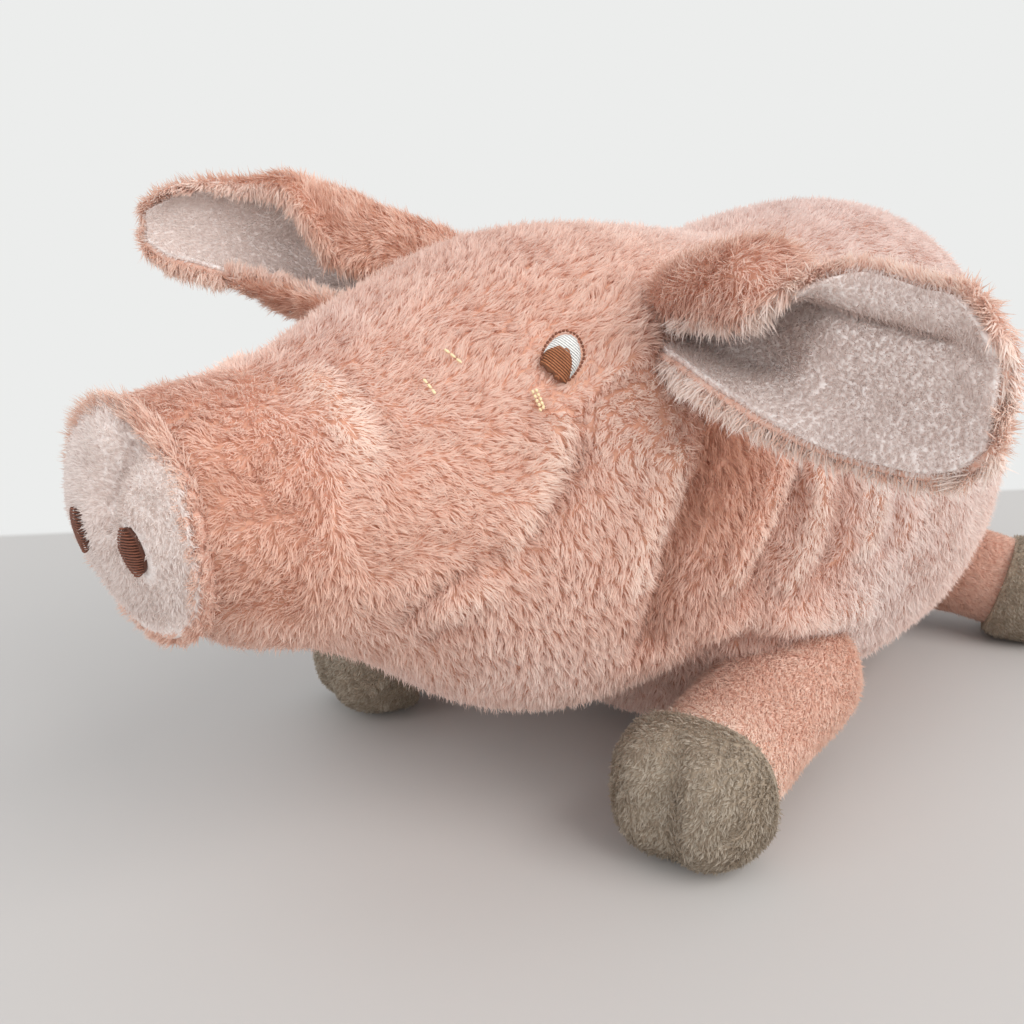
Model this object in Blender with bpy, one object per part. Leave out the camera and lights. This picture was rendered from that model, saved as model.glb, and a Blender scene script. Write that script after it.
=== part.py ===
"""A plush pig that lies on its belly: stuffed covers, sewn joints and embroidered features.

Metres, +Z up. The pig faces -Y and its left side is +X. The origin is the middle of the belly's
resting face on the floor. Sizes are named in millimetres, and MM turns them into metres.
"""

import math

import bmesh
import bpy
import numpy as np
from mathutils import Matrix, Vector
from mathutils.bvhtree import BVHTree

MM = 0.001

# Fabric and gaps
WALL = 4.0  # backing and the dense part of the long pile
SHORT_WALL = 2.6  # backing and pile of the disc, the ear linings and the hooves
GAP = 0.4  # between neighbouring pieces
RUNNING_GAP = 0.9  # between pieces that turn past each other
SWING_ROOM = 1.8  # round a leg, which swings through a flat fan

# Mesh fineness
BODY_SEGMENTS = 36
BODY_RINGS = 24
INNER_SEGMENTS = 20
INNER_RINGS = 13
LEG_SEGMENTS = 16
LEG_RINGS = 10
ROOM_SEGMENTS = 12
ROOM_RINGS = 6
DISC_SEGMENTS = 28
SOCKET_SEGMENTS = 28
SOCKET_RINGS = 16
PAD_PITCH = 3.0  # spacing of the points that let embroidery follow a curved surface

# Torso, as stations along Y: place, half width, top, bottom and height of the widest place
TORSO_STATIONS = (
    (-110, 68, 168, 24, 96),
    (-79, 77, 170, 8, 92),
    (-44, 80, 168, 2, 88),
    (-4, 83, 176, -0.5, 86),
    (28, 80, 180, -0.5, 86),
    (68, 70, 177, 7, 90),
    (114, 58, 166, 24, 94),
)
TORSO_FRONT_CAP = (34, 98)  # length over which the front closes, and the height it closes at
TORSO_BACK_CAP = (62, 96)

# Head, the same way; behind the neck's axis it is a ball, so that it turns in its socket
NECK_PIVOT = (-79, 100)  # Y and Z of the nodding axis, which runs along X
NECK_RADIUS = 71
HEAD_STATIONS = (
    (-258, 24, 128, 90, 110),
    (-240, 31, 137, 79, 108),
    (-226, 34.5, 138.5, 73, 106),
    (-210, 37, 141.5, 69, 104),
    (-195, 41, 148, 62, 102),
    (-180, 48, 155, 53, 98),
    (-165, 56, 160.5, 42, 95),
    (-150, 63, 166, 34, 94),
    (-130, 68.5, 170.5, 29, 96),
    (-105, 70, 172, 28, 99),
    (-79, 70.5, 171, 29, 100),
    (-8, 70.5, 171, 29, 100),
)
HEAD_FRONT_CAP = (12, 108)
SNOUT_SEAM_Y = -246.5  # where the disc is sewn in
NECK_HOLE = 26  # radius of the opening at the back of the head cover
NOD_DOWN = 6  # degrees
NOD_UP = 12

# The torso's front edge in side view, round the neck's axis: degrees from straight up, turning
# forwards, and distance from the axis
COLLAR_EDGE = (
    (-27, 130),
    (-27, 62),
    (8, 44),
    (30, 34),
    (60, 31),
    (90, 30),
    (120, 31),
    (145, 35),
    (170, 44),
    (186, 60),
    (186, 130),
)

# Snout disc: half width, top, bottom and how far it bulges forward
DISC_HALF_WIDTH = 28.8
DISC_TOP = 136
DISC_BOTTOM = 80
DISC_BULGE = 7
DISC_RIM = 3
DISC_FULLNESS = 2.2  # how far out the bulge stays full
DISC_SHARES = (0.22, 0.45, 0.66, 0.84, 0.96)  # rings of points, as shares of the half width

# Legs: hip and hoof centre, in X, Y and Z, as each leg lies
LEGS = {
    "front_left": ((57, -58, 31), (67, -121, 21)),
    "front_right": ((-57, -58, 31), (-74, -122, 21)),
    "hind_left": ((26, 97, 31), (66, 113, 21)),
    "hind_right": ((-26, 97, 31), (-66, 113, 21)),
}
HIP_RADIUS = 22.5
LEG_RADIUS = 20.5
LEG_FLATNESS = 0.97  # height of a leg's section over its width
HOOF_SIZE = (23.2, 23.5, 21.5)  # half width, half length and half height
HOOF_SEAM_BACK = 3  # from the hoof's centre back to its seam
HOOF_SEAM_LEAN = 14  # degrees
CLEFT_DEPTH = 3
CLEFT_WIDTH = 5
SWING_OUT = 25  # degrees, away from the body
SWING_IN = 4
FRONT_SWING_OUT = 20  # the front legs swing less, because the head lies against them
SWING_COPIES = 3  # how many forms make up the room for the swing

# Ears: length, cloth across at the widest, and for each side the root, the direction's angle
# forward of straight sideways, the rise over the length, the arch in it and the hinge's travel
EAR_LENGTH = 92
EAR_ACROSS = 56
EAR_ROWS = 10
EAR_COLUMNS = 13
EAR_BACK_WALL = 3.2
EAR_AXIS_LEAN = 36  # degrees from upright, along the head's slope
# The way the cloth runs from the lower rim to the upper one, in degrees from straight forward, at
# shares of the length: it cups, and its upper rim rolls over forwards
EAR_ACROSS_AT = (0, 0.35, 0.6, 0.78, 0.9, 1)
EARS = {
    "left": {
        "side": 1,
        "root": (54, -113, 146),
        "forward": 15,
        "rise": -6,
        "arch": 3,
        "travel": (-35, 12),
        "folds": (
            (0, (150, 108, 70, 10, -50, -95)),
            (0.45, (122, 95, 82, 40, -25, -70)),
            (0.8, (115, 94, 84, 52, 5, -35)),
            (1, (105, 93, 86, 74, 58, 45)),
        ),
    },
    "right": {
        "side": -1,
        "root": (-54, -113, 146),
        "forward": 42,
        "rise": 12,
        "arch": 8,
        "travel": (-40, 10),
        "folds": (
            (0, (215, 165, 95, 30, -40, -95)),
            (0.45, (205, 140, 88, 40, -20, -60)),
            (0.8, (160, 115, 85, 45, -10, -50)),
            (1, (150, 110, 85, 50, 10, -20)),
        ),
    },
}
# The cloth's width along the ear, as shares of the length and of the width
EAR_WIDTHS = ((0, 0.56), (0.12, 0.8), (0.35, 0.98), (0.6, 1.0), (0.82, 0.92), (0.94, 0.74), (1, 0.46))

# Face, on the left side and mirrored: Y and Z of each middle, then sizes along and up
EYE_AT = (-157, 140.5)
EYE_SIZE = (6.9, 6.5)
IRIS_OFFSET = (-1.5, -1.4)
IRIS_SIZE = (4.9, 4.5)
STITCH_PAD = 0.9  # how thick the embroidery is
STITCH_WIDTH = 0.8
UNDER_EYE_PATH = ((-11.6, -7.0), (-10.6, -10.2), (-8.8, -13.4))
CHEEK_STITCH_PATH = ((-6.6, -14.6), (-3.4, -16.4), (0.2, -16.6), (3.6, -15.2))
BROW_STITCH_PATH = ((-41, 3.6), (-38.2, 1.4), (-36, -1.2))
NOSTRIL_AT = (13.2, 106)  # X and Z
NOSTRIL_SIZE = (3.1, 6.3)
NOSTRIL_LEAN = 12  # degrees, tops towards the middle

# Tail: a curl at the rump
TAIL_ROOT = (0, 117.8, 112)
TAIL_LEAD = 5  # how far it runs straight back before it curls
TAIL_COIL_RADIUS = 9
TAIL_TURNS = 1.2
TAIL_PITCH = 7
TAIL_RADIUS = 4.4
TAIL_END = 0.4  # size of the last ring over the radius
TAIL_RINGS = 26
TAIL_SIDES = 10

# Colours seen on the toy, as sRGB hex, with roughness
FINISHES = {
    "long_pile": ("#DFA593", 0.92),
    "short_pile": ("#DCCBCB", 0.9),
    "hoof_pile": ("#A89D8E", 0.92),
    "filling": ("#F2F0EA", 0.95),
    "white_thread": ("#F4F2EE", 0.6),
    "brown_thread": ("#6B4632", 0.6),
    "iris_thread": ("#9A6B48", 0.6),
    "cream_thread": ("#EFD2A0", 0.6),
    "pink_thread": ("#D99A84", 0.6),
}


def clear_scene():
    for item in list(bpy.data.objects):
        bpy.data.objects.remove(item, do_unlink=True)


def linear(hex_colour):
    """An sRGB hex colour as linear RGBA."""
    channels = [int(hex_colour[i : i + 2], 16) / 255 for i in (1, 3, 5)]
    return [c / 12.92 if c <= 0.04045 else ((c + 0.055) / 1.055) ** 2.4 for c in channels] + [1]


def finish(name):
    """The material of a finish, made once."""
    if name in bpy.data.materials:
        return bpy.data.materials[name]
    colour, roughness = FINISHES[name]
    material = bpy.data.materials.new(name)
    material.use_nodes = True
    shader = material.node_tree.nodes["Principled BSDF"]
    shader.inputs["Base Color"].default_value = linear(colour)
    shader.inputs["Roughness"].default_value = roughness
    shader.inputs["Metallic"].default_value = 0
    material.diffuse_color = linear(colour)
    return material


def new_object(name, points, faces, material=None):
    """A mesh object from points in millimetres."""
    mesh = bpy.data.meshes.new(name)
    mesh.from_pydata([tuple(p) for p in np.asarray(points, float) * MM], [], faces)
    body = bmesh.new()
    body.from_mesh(mesh)
    bmesh.ops.recalc_face_normals(body, faces=body.faces)
    body.to_mesh(mesh)
    body.free()
    mesh.shade_smooth()
    made = bpy.data.objects.new(name, mesh)
    bpy.context.scene.collection.objects.link(made)
    if material:
        mesh.materials.append(finish(material))
    return made


def faces_of(body):
    """The faces of an edited mesh as lists of point numbers."""
    body.verts.index_update()
    return [[v.index for v in face.verts] for face in body.faces]


def settled_mesh(item):
    """The object's mesh with its modifiers applied."""
    bpy.context.view_layer.update()
    graph = bpy.context.evaluated_depsgraph_get()
    return bpy.data.meshes.new_from_object(item.evaluated_get(graph), depsgraph=graph)


def boolean(item, other, operation, keep_other=False):
    """Cuts or joins two closed objects, and applies the result."""
    step = item.modifiers.new("joined", "BOOLEAN")
    step.operation = operation
    step.object = other
    step.solver = "EXACT"
    mesh = settled_mesh(item)
    item.modifiers.clear()
    old = item.data
    item.data = mesh
    bpy.data.meshes.remove(old)
    if not keep_other:
        bpy.data.objects.remove(other, do_unlink=True)


def cut(item, *cutters, keep=False):
    for cutter in cutters:
        boolean(item, cutter, "DIFFERENCE", keep_other=keep)


def smooth_through(places, values, at):
    """A curve through the values that never swings past them."""
    places, values = np.asarray(places, float), np.asarray(values, float)
    steps = np.diff(places)
    slopes = np.diff(values) / steps
    tangents = np.concatenate([[slopes[0]], np.zeros(len(values) - 2), [slopes[-1]]])
    for i in range(1, len(values) - 1):
        if slopes[i - 1] * slopes[i] > 0:
            before, after = 2 * steps[i] + steps[i - 1], steps[i] + 2 * steps[i - 1]
            tangents[i] = (before + after) / (before / slopes[i - 1] + after / slopes[i])
    k = np.clip(np.searchsorted(places, at) - 1, 0, len(steps) - 1)
    t = np.clip((at - places[k]) / steps[k], 0, 1)
    h = steps[k]
    return (
        values[k] * (1 + 2 * t) * (1 - t) ** 2
        + h * tangents[k] * t * (1 - t) ** 2
        + values[k + 1] * t**2 * (3 - 2 * t)
        + h * tangents[k + 1] * t**2 * (t - 1)
    )


def closed_tube(name, rings, poles, material=None):
    """A closed mesh from equal rings of points and the two points that close its ends."""
    rings = np.asarray(rings, float)
    count, around, _ = rings.shape
    points = np.concatenate([rings.reshape(-1, 3), np.asarray(poles, float)])
    faces = []
    for i in range(count - 1):
        for j in range(around):
            k = (j + 1) % around
            faces.append((i * around + j, i * around + k, (i + 1) * around + k, (i + 1) * around + j))
    last = (count - 1) * around
    for j in range(around):
        k = (j + 1) % around
        faces.append((count * around, k, j))
        faces.append((count * around + 1, last + j, last + k))
    return new_object(name, points, faces, material)


def moved_out(item, distance):
    """Moves each point along its normal, by millimetres, inwards where negative."""
    normals = np.array([tuple(v.normal) for v in item.data.vertices])
    points = np.array([tuple(v.co) for v in item.data.vertices]) + normals * distance * MM
    item.data.vertices.foreach_set("co", points.reshape(-1))
    item.data.update()
    return item


def swelling_form(name, stations, front_cap, back_cap, segments, rings, grow=0.0, material=None):
    """A stuffed form along Y that swells and tapers as its stations say, with domed ends."""
    table = np.array(stations, float)
    start, end = table[0, 0], table[-1, 0]
    front, back = front_cap[0], back_cap[0]
    front_rings = max(4, rings // 4)
    back_rings = max(5, rings // 3)
    front_turn = np.linspace(0, math.pi / 2, front_rings, endpoint=False)[1:]
    back_turn = np.linspace(math.pi / 2, 0, back_rings, endpoint=False)[1:][::-1]
    middle = np.linspace(start + front, end - back, rings - front_rings - back_rings + 2)
    places = np.concatenate(
        [start + front * (1 - np.cos(front_turn)), middle, end - back * (1 - np.cos(back_turn[::-1]))]
    )
    shrink = np.concatenate([np.sin(front_turn), np.ones(len(middle)), np.sin(back_turn[::-1])])
    closing = np.concatenate(
        [np.full(len(front_turn), front_cap[1]), np.zeros(len(middle)), np.full(len(back_turn), back_cap[1])]
    )
    width, top, bottom, widest = (smooth_through(table[:, 0], table[:, k], places) for k in range(1, 5))
    turn = np.linspace(0, 2 * math.pi, segments, endpoint=False)
    outline = []
    for y, w, up, low, mid, small, toward in zip(places, width, top, bottom, widest, shrink, closing):
        x = w * np.cos(turn)
        z = mid + np.where(np.sin(turn) > 0, up - mid, mid - low) * np.sin(turn)
        if small < 1:
            x, z = x * small, toward + (z - toward) * small
        outline.append(np.stack([x, np.full(segments, y), z], axis=1))
    made = closed_tube(
        name, outline, [(0, start, front_cap[1]), (0, end, back_cap[1])], material
    )
    return moved_out(made, grow) if grow else made


def block(name, low, high):
    """A plain box between two corners."""
    corners = [(x, y, z) for x in (low[0], high[0]) for y in (low[1], high[1]) for z in (low[2], high[2])]
    faces = [(0, 1, 3, 2), (4, 6, 7, 5), (0, 4, 5, 1), (2, 3, 7, 6), (0, 2, 6, 4), (1, 5, 7, 3)]
    return new_object(name, corners, faces)


def floor_cutter():
    return block("floor_cutter", (-250, -400, -60), (250, 300, 0))


def ball(name, centre, sizes, segments=32, rings=20):
    """An ellipsoid turned about X, so that it can turn in place about that axis."""
    turn = np.linspace(0, 2 * math.pi, segments, endpoint=False)
    outline = []
    for tilt in np.linspace(0, math.pi, rings + 2)[1:-1]:
        across, along = math.sin(tilt), math.cos(tilt)
        outline.append(
            np.stack(
                [
                    np.full(segments, centre[0] + sizes[0] * along),
                    centre[1] + sizes[1] * across * np.cos(turn),
                    centre[2] + sizes[2] * across * np.sin(turn),
                ],
                axis=1,
            )
        )
    poles = [(centre[0] + sizes[0], centre[1], centre[2]), (centre[0] - sizes[0], centre[1], centre[2])]
    return closed_tube(name, outline, poles)


def prism_along_x(name, outline, half_length):
    """A closed outline in Y and Z, drawn out along X."""
    count = len(outline)
    points = [(side * half_length, y, z) for side in (-1, 1) for y, z in outline]
    faces = [tuple(range(count)), tuple(range(2 * count - 1, count - 1, -1))]
    faces += [(i, (i + 1) % count, count + (i + 1) % count, count + i) for i in range(count)]
    return new_object(name, points, faces)


def rod(name, start, end, radius, segments=24):
    """A straight round bar."""
    start, end = Vector(start), Vector(end)
    frame = (end - start).to_track_quat("Z", "Y").to_matrix()
    turn = np.linspace(0, 2 * math.pi, segments, endpoint=False)
    circle = [frame @ Vector((radius * math.cos(a), radius * math.sin(a), 0)) for a in turn]
    outline = [[tuple(place + c) for c in circle] for place in (start, end)]
    return closed_tube(name, outline, [tuple(start), tuple(end)])


def turned_about(item, pivot, axis, degrees):
    """Turns a mesh about an axis through a pivot in millimetres."""
    pivot = Vector(pivot) * MM
    spin = Matrix.Translation(pivot) @ Matrix.Rotation(math.radians(degrees), 4, Vector(axis))
    item.data.transform(spin @ Matrix.Translation(-pivot))
    item.data.update()
    return item


def head_form(name, grow=0.0, inner=False, material=None):
    segments, rings = (INNER_SEGMENTS, INNER_RINGS) if inner else (BODY_SEGMENTS, BODY_RINGS)
    back_cap = (NECK_RADIUS, NECK_PIVOT[1])
    return swelling_form(name, HEAD_STATIONS, HEAD_FRONT_CAP, back_cap, segments, rings, grow, material)


def torso_form(name, grow=0.0, inner=False, material=None):
    segments, rings = (INNER_SEGMENTS, INNER_RINGS) if inner else (BODY_SEGMENTS, BODY_RINGS)
    return swelling_form(
        name, TORSO_STATIONS, TORSO_FRONT_CAP, TORSO_BACK_CAP, segments, rings, grow, material
    )


def collar_cutter():
    """Everything in front of the torso's edge, drawn out sideways."""
    y, z = NECK_PIVOT
    edge = [
        (y - far * math.sin(math.radians(a)), z + far * math.cos(math.radians(a)))
        for a, far in COLLAR_EDGE
    ]
    far_y = y - 200
    return prism_along_x("collar_cutter", edge + [(far_y, edge[-1][1]), (far_y, edge[0][1])], 140)


def neck_ball(name, grow):
    """The room that the back of the head turns in."""
    y, z = NECK_PIVOT
    size = NECK_RADIUS + grow
    return ball(name, (0, y, z), (size + 3.5, size, size), SOCKET_SEGMENTS, SOCKET_RINGS)


def leg_frame(leg):
    """Hip, hoof centre, direction along the leg and across it, and its length."""
    hip, hoof = (Vector(place) for place in LEGS[leg])
    along = (hoof - hip).normalized()
    across = Vector((along.y, -along.x, 0)).normalized()
    upward = across.cross(along).normalized()
    if upward.z < 0:
        across, upward = -across, -upward
    return hip, hoof, along, across, upward, (hoof - hip).length


def leg_form(name, leg, grow=0.0, material=None, coarse=False):
    """A leg from its ball-shaped hip to the middle of its hoof."""
    hip, _, along, across, upward, length = leg_frame(leg)
    segments, rings = (ROOM_SEGMENTS, ROOM_RINGS) if coarse else (LEG_SEGMENTS, LEG_RINGS)
    turn = np.linspace(0, 2 * math.pi, segments, endpoint=False)
    hip_turn = np.linspace(0, math.pi / 2, rings // 2 + 1, endpoint=False)[1:]
    places = list(-(HIP_RADIUS + grow) * np.cos(hip_turn)) + list(np.linspace(0, length, rings // 2))
    radii = list((HIP_RADIUS + grow) * np.sin(hip_turn))
    for place in places[len(radii) :]:
        share = min(1, place / (0.55 * length))
        blend = share * share * (3 - 2 * share)
        radii.append(grow + HIP_RADIUS + (LEG_RADIUS - HIP_RADIUS) * blend)
    outline = []
    for place, radius in zip(places, radii):
        middle = hip + along * place
        flat = 1 - (1 - LEG_FLATNESS) * min(1, max(0, place / length) * 2)
        wide, high = across * radius, upward * radius * flat
        outline.append([tuple(middle + wide * math.cos(a) + high * math.sin(a)) for a in turn])
    poles = [tuple(hip - along * (HIP_RADIUS + grow)), tuple(hip + along * (length + 0.01))]
    return closed_tube(name, outline, poles, material)


def hoof_form(name, leg, grow=0.0, material=None, coarse=False):
    """A rounded hoof with a cleft down the middle of its front."""
    _, hoof, along, across, _, _ = leg_frame(leg)
    level = Vector((along.x, along.y, 0)).normalized()
    half_width, half_length, half_height = (size + grow for size in HOOF_SIZE)
    count, rings = (ROOM_SEGMENTS, ROOM_RINGS) if coarse else (LEG_SEGMENTS + 6, LEG_RINGS)
    outline = []
    for tilt in np.linspace(0, math.pi, rings + 2)[1:-1]:
        ring = []
        for a in np.linspace(0, 2 * math.pi, count, endpoint=False):
            side_way = math.sin(tilt) * math.cos(a)
            up = math.sin(tilt) * math.sin(a)
            forward = math.cos(tilt)
            squareness = 1 / (abs(side_way) ** 2.6 + abs(up) ** 2.6 + abs(forward) ** 2.6) ** (1 / 2.6)
            dent = CLEFT_DEPTH * math.exp(-((side_way * half_width / CLEFT_WIDTH) ** 2))
            dent *= max(0, forward + 0.25)
            point = (
                hoof
                + across * side_way * half_width * squareness
                + Vector((0, 0, 1)) * up * half_height * squareness
                + level * (forward * half_length * squareness - dent)
            )
            ring.append(tuple(point))
        outline.append(ring)
    poles = [
        tuple(hoof + level * (half_length - CLEFT_DEPTH)),
        tuple(hoof - level * half_length),
    ]
    return closed_tube(name, outline, poles, material)


def hoof_seam_cutter(leg, behind, slack):
    """A slab that removes what is behind the hoof's seam, or what is in front of it."""
    _, hoof, along, _, _, _ = leg_frame(leg)
    level = Vector((along.x, along.y, 0)).normalized()
    across = Vector((-level.y, level.x, 0))
    lean = Matrix.Rotation(math.radians(HOOF_SEAM_LEAN), 4, across)
    forward = (lean @ level).normalized()
    if (forward - level).z > 0:
        forward = (Matrix.Rotation(-math.radians(HOOF_SEAM_LEAN), 4, across) @ level).normalized()
    seam = hoof - level * HOOF_SEAM_BACK + across * 2.3
    start = seam + forward * slack if behind else seam - forward * slack
    end = start - forward * 60 if behind else start + forward * 60
    return rod("seam_cutter", start, end, 60)


def swing_room(leg, grow):
    """The fan-shaped room that a leg needs as it swings at its hip."""
    hip = leg_frame(leg)[0]
    outward = 1 if hip.x > 0 else -1
    body = bmesh.new()
    for degrees in np.linspace(-SWING_IN - 1, SWING_OUT + 1, SWING_COPIES):
        form = leg_form("leg_room", leg, grow, coarse=True)
        turned_about(form, hip, (0, 0, 1), degrees * outward)
        for vertex in form.data.vertices:
            body.verts.new(vertex.co)
        bpy.data.objects.remove(form, do_unlink=True)
    bmesh.ops.remove_doubles(body, verts=body.verts, dist=MM)
    bmesh.ops.convex_hull(body, input=body.verts)
    bmesh.ops.delete(body, geom=[v for v in body.verts if not v.link_faces], context="VERTS")
    room = new_object("swing_room", [tuple(v.co / MM) for v in body.verts], faces_of(body))
    body.free()
    return room


def nodding_head(grow):
    """The head at rest and nodded down, for cutting what has to stay clear of it."""
    y, z = NECK_PIVOT
    rooms = [head_form("head_room", grow) for _ in range(2)]
    turned_about(rooms[1], (0, y, z), (1, 0, 0), NOD_DOWN + 1)
    return rooms


def make_torso():
    cover = torso_form("torso_cover", material="long_pile")
    cut(cover, torso_form("torso_hollow", -WALL, inner=True))
    filling = torso_form("torso_filling", -WALL - GAP, inner=True, material="filling")
    for piece in (cover, filling):
        cut(piece, neck_ball("neck_room", RUNNING_GAP), collar_cutter())
        for leg in LEGS:
            cut(piece, swing_room(leg, SWING_ROOM))
        cut(piece, floor_cutter())


def make_head():
    cover = head_form("head_cover", material="long_pile")
    cut(cover, head_form("head_hollow", -WALL, inner=True))
    filling = head_form("head_filling", -WALL - GAP, inner=True, material="filling")
    cut(cover, block("front_cutter", (-60, -300, 40), (60, SNOUT_SEAM_Y, 180)))
    cut(filling, block("front_cutter", (-60, -300, 40), (60, SNOUT_SEAM_Y + SHORT_WALL, 180)))
    y, z = NECK_PIVOT
    cut(cover, rod("neck_hole", (0, y + NECK_RADIUS - 20, z), (0, y + NECK_RADIUS + 20, z), NECK_HOLE))


def make_disc():
    """The snout's end: a panel that bulges forward and turns in at its rim."""
    middle_z = (DISC_TOP + DISC_BOTTOM) / 2
    half_height = (DISC_TOP - DISC_BOTTOM) / 2
    turn = np.linspace(0, 2 * math.pi, DISC_SEGMENTS, endpoint=False)

    def ring(share, y):
        x = DISC_HALF_WIDTH * share * np.cos(turn)
        z = middle_z + half_height * share * np.sin(turn)
        return np.stack([x, np.full(len(turn), y), z], axis=1)

    front, back = [], []
    for share in DISC_SHARES:
        y = SNOUT_SEAM_Y - DISC_RIM - DISC_BULGE * (1 - share**DISC_FULLNESS)
        front.append(ring(share, y))
        back.append(ring(share, y + SHORT_WALL))
    rim = [ring(1, SNOUT_SEAM_Y - DISC_RIM + 1), ring(1, SNOUT_SEAM_Y - GAP)]
    lip = ring(1 - SHORT_WALL / DISC_HALF_WIDTH, SNOUT_SEAM_Y - GAP)
    tip = SNOUT_SEAM_Y - DISC_RIM - DISC_BULGE
    poles = [(0, tip, middle_z), (0, tip + SHORT_WALL, middle_z)]
    closed_tube("snout_disc", front + rim + [lip] + back[::-1][1:], poles, "short_pile")


def make_leg(leg):
    """A leg's cover, its hoof and the filling that runs through both."""
    cover = leg_form(f"leg_{leg}_cover", leg, material="long_pile")
    cut(cover, leg_form("leg_hollow", leg, -WALL, coarse=True), hoof_seam_cutter(leg, False, GAP / 2))
    hip = leg_frame(leg)[0]
    outward = 1 if hip.x > 0 else -1
    for degrees in (0, FRONT_SWING_OUT / 2, FRONT_SWING_OUT):
        for room in nodding_head(RUNNING_GAP):
            cut(cover, turned_about(room, hip, (0, 0, 1), -degrees * outward))
    hoof = hoof_form(f"hoof_{leg}", leg, material="hoof_pile")
    cut(hoof, hoof_form("hoof_hollow", leg, -SHORT_WALL, coarse=True), hoof_seam_cutter(leg, True, GAP / 2))
    filling = leg_form(f"leg_{leg}_filling", leg, -WALL - GAP, "filling", coarse=True)
    hoof_filling = hoof_form("hoof_filling", leg, -SHORT_WALL - 3 * GAP, coarse=True)
    cut(hoof_filling, hoof_seam_cutter(leg, True, GAP))
    boolean(filling, hoof_filling, "UNION")
    for piece in (cover, hoof, filling):
        cut(piece, floor_cutter())


def ear_frame(ear):
    """An ear's root, the ways along it, forwards and up, and its hinge's axis."""
    side, forward = ear["side"], math.radians(ear["forward"])
    along = Vector((side * math.cos(forward), -math.sin(forward), 0))
    front = Vector((-side * math.sin(forward), -math.cos(forward), 0))
    lean = math.radians(EAR_AXIS_LEAN)
    axis = Vector((-side * math.sin(lean), 0, math.cos(lean)))
    return Vector(ear["root"]), along, front, Vector((0, 0, 1)), axis


def ear_sheet(ear):
    """The seam surface of an ear as a grid of points, and the way to its lined side at each."""
    root, along, front, up, _ = ear_frame(ear)
    widths, folds = np.array(EAR_WIDTHS), ear["folds"]
    down_length = 1 - (1 - np.linspace(0, 1, EAR_ROWS)) ** 1.3
    across = np.linspace(0, 1, EAR_COLUMNS)
    fine = np.linspace(0, 1, 121)
    grid = np.zeros((EAR_ROWS, EAR_COLUMNS, 3))
    for i, share in enumerate(down_length):
        bend = [np.interp(share, [f[0] for f in folds], [f[1][k] for f in folds]) for k in range(6)]
        turn = np.radians(smooth_through(EAR_ACROSS_AT, bend, fine))
        step = EAR_ACROSS * float(smooth_through(widths[:, 0], widths[:, 1], np.array([share]))[0]) / 120
        forth = np.concatenate([[0], np.cumsum(np.cos((turn[1:] + turn[:-1]) / 2) * step)])
        rise = np.concatenate([[0], np.cumsum(np.sin((turn[1:] + turn[:-1]) / 2) * step)])
        forth, rise = np.interp(across, fine, forth), np.interp(across, fine, rise)
        middle = EAR_COLUMNS * 3 // 7
        lift = ear["rise"] * share + ear["arch"] * 4 * share * (1 - share)
        centre = root + along * EAR_LENGTH * share + up * lift
        for j in range(EAR_COLUMNS):
            grid[i, j] = centre + front * (forth[j] - forth[middle]) + up * (rise[j] - rise[middle])
    lengthways = np.gradient(grid, axis=0)
    crossways = np.gradient(grid, axis=1)
    lined = ear["side"] * np.cross(lengthways, crossways)
    return grid, lined / np.linalg.norm(lined, axis=2, keepdims=True)


def sheet_panel(name, grid, normals, low, high, material):
    """A panel of cloth between two offsets from a grid of points."""
    rows, columns, _ = grid.shape
    points = np.concatenate([(grid + normals * h).reshape(-1, 3) for h in (low, high)])
    size = rows * columns
    faces = []
    for i in range(rows - 1):
        for j in range(columns - 1):
            a, b = i * columns + j, (i + 1) * columns + j
            faces.append((a, a + 1, b + 1, b))
            faces.append((size + a, size + b, size + b + 1, size + a + 1))
    rim = [(0, j) for j in range(columns)] + [(i, columns - 1) for i in range(1, rows)]
    rim += [(rows - 1, j) for j in range(columns - 2, -1, -1)] + [(i, 0) for i in range(rows - 2, 0, -1)]
    rim = [i * columns + j for i, j in rim]
    for a, b in zip(rim, rim[1:] + rim[:1]):
        faces.append((a, b, size + b, size + a))
    return new_object(name, points, faces, material)


def make_ear(name, ear):
    """An ear's pink back and its pale lining, trimmed where they are sewn to the head."""
    grid, lined = ear_sheet(ear)
    root, _, _, _, axis = ear_frame(ear)
    back = sheet_panel(f"ear_{name}_back", grid, lined, -EAR_BACK_WALL, -GAP / 2, "long_pile")
    lining = sheet_panel(f"ear_{name}_lining", grid, lined, GAP / 2, SHORT_WALL, "short_pile")
    for degrees in (-ear["travel"][1], 0, -ear["travel"][0]):
        room = turned_about(head_form("head_room", RUNNING_GAP), root, axis, degrees)
        cut(back, room, keep=True)
        cut(lining, room)


def surface_of(item):
    """A search tree over an object's faces, in metres."""
    bpy.context.view_layer.update()
    return BVHTree.FromObject(item, bpy.context.evaluated_depsgraph_get())


def diced(item):
    """Adds a grid of points over a flat piece, so that it can follow a curved surface."""
    body = bmesh.new()
    body.from_mesh(item.data)
    for k in range(2):
        places = [v.co[k] for v in body.verts]
        for place in np.arange(min(places) + PAD_PITCH * MM, max(places) - MM, PAD_PITCH * MM):
            point = Vector((0, 0, 0))
            point[k] = place
            normal = Vector((0, 0, 0))
            normal[k] = 1
            everything = body.verts[:] + body.edges[:] + body.faces[:]
            bmesh.ops.bisect_plane(body, geom=everything, dist=MM * 0.01, plane_co=point, plane_no=normal)
    body.to_mesh(item.data)
    body.free()
    return item


def flat_pad(name, outline, material=None, low=0.0, high=STITCH_PAD):
    """A flat piece with the given outline, lying in X and Y, in millimetres."""
    count = len(outline)
    points = [(x, y, h) for h in (low, high) for x, y in outline]
    faces = [tuple(range(count)), tuple(range(2 * count - 1, count - 1, -1))]
    faces += [(i, (i + 1) % count, count + (i + 1) % count, count + i) for i in range(count)]
    return new_object(name, points, faces, material)


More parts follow.
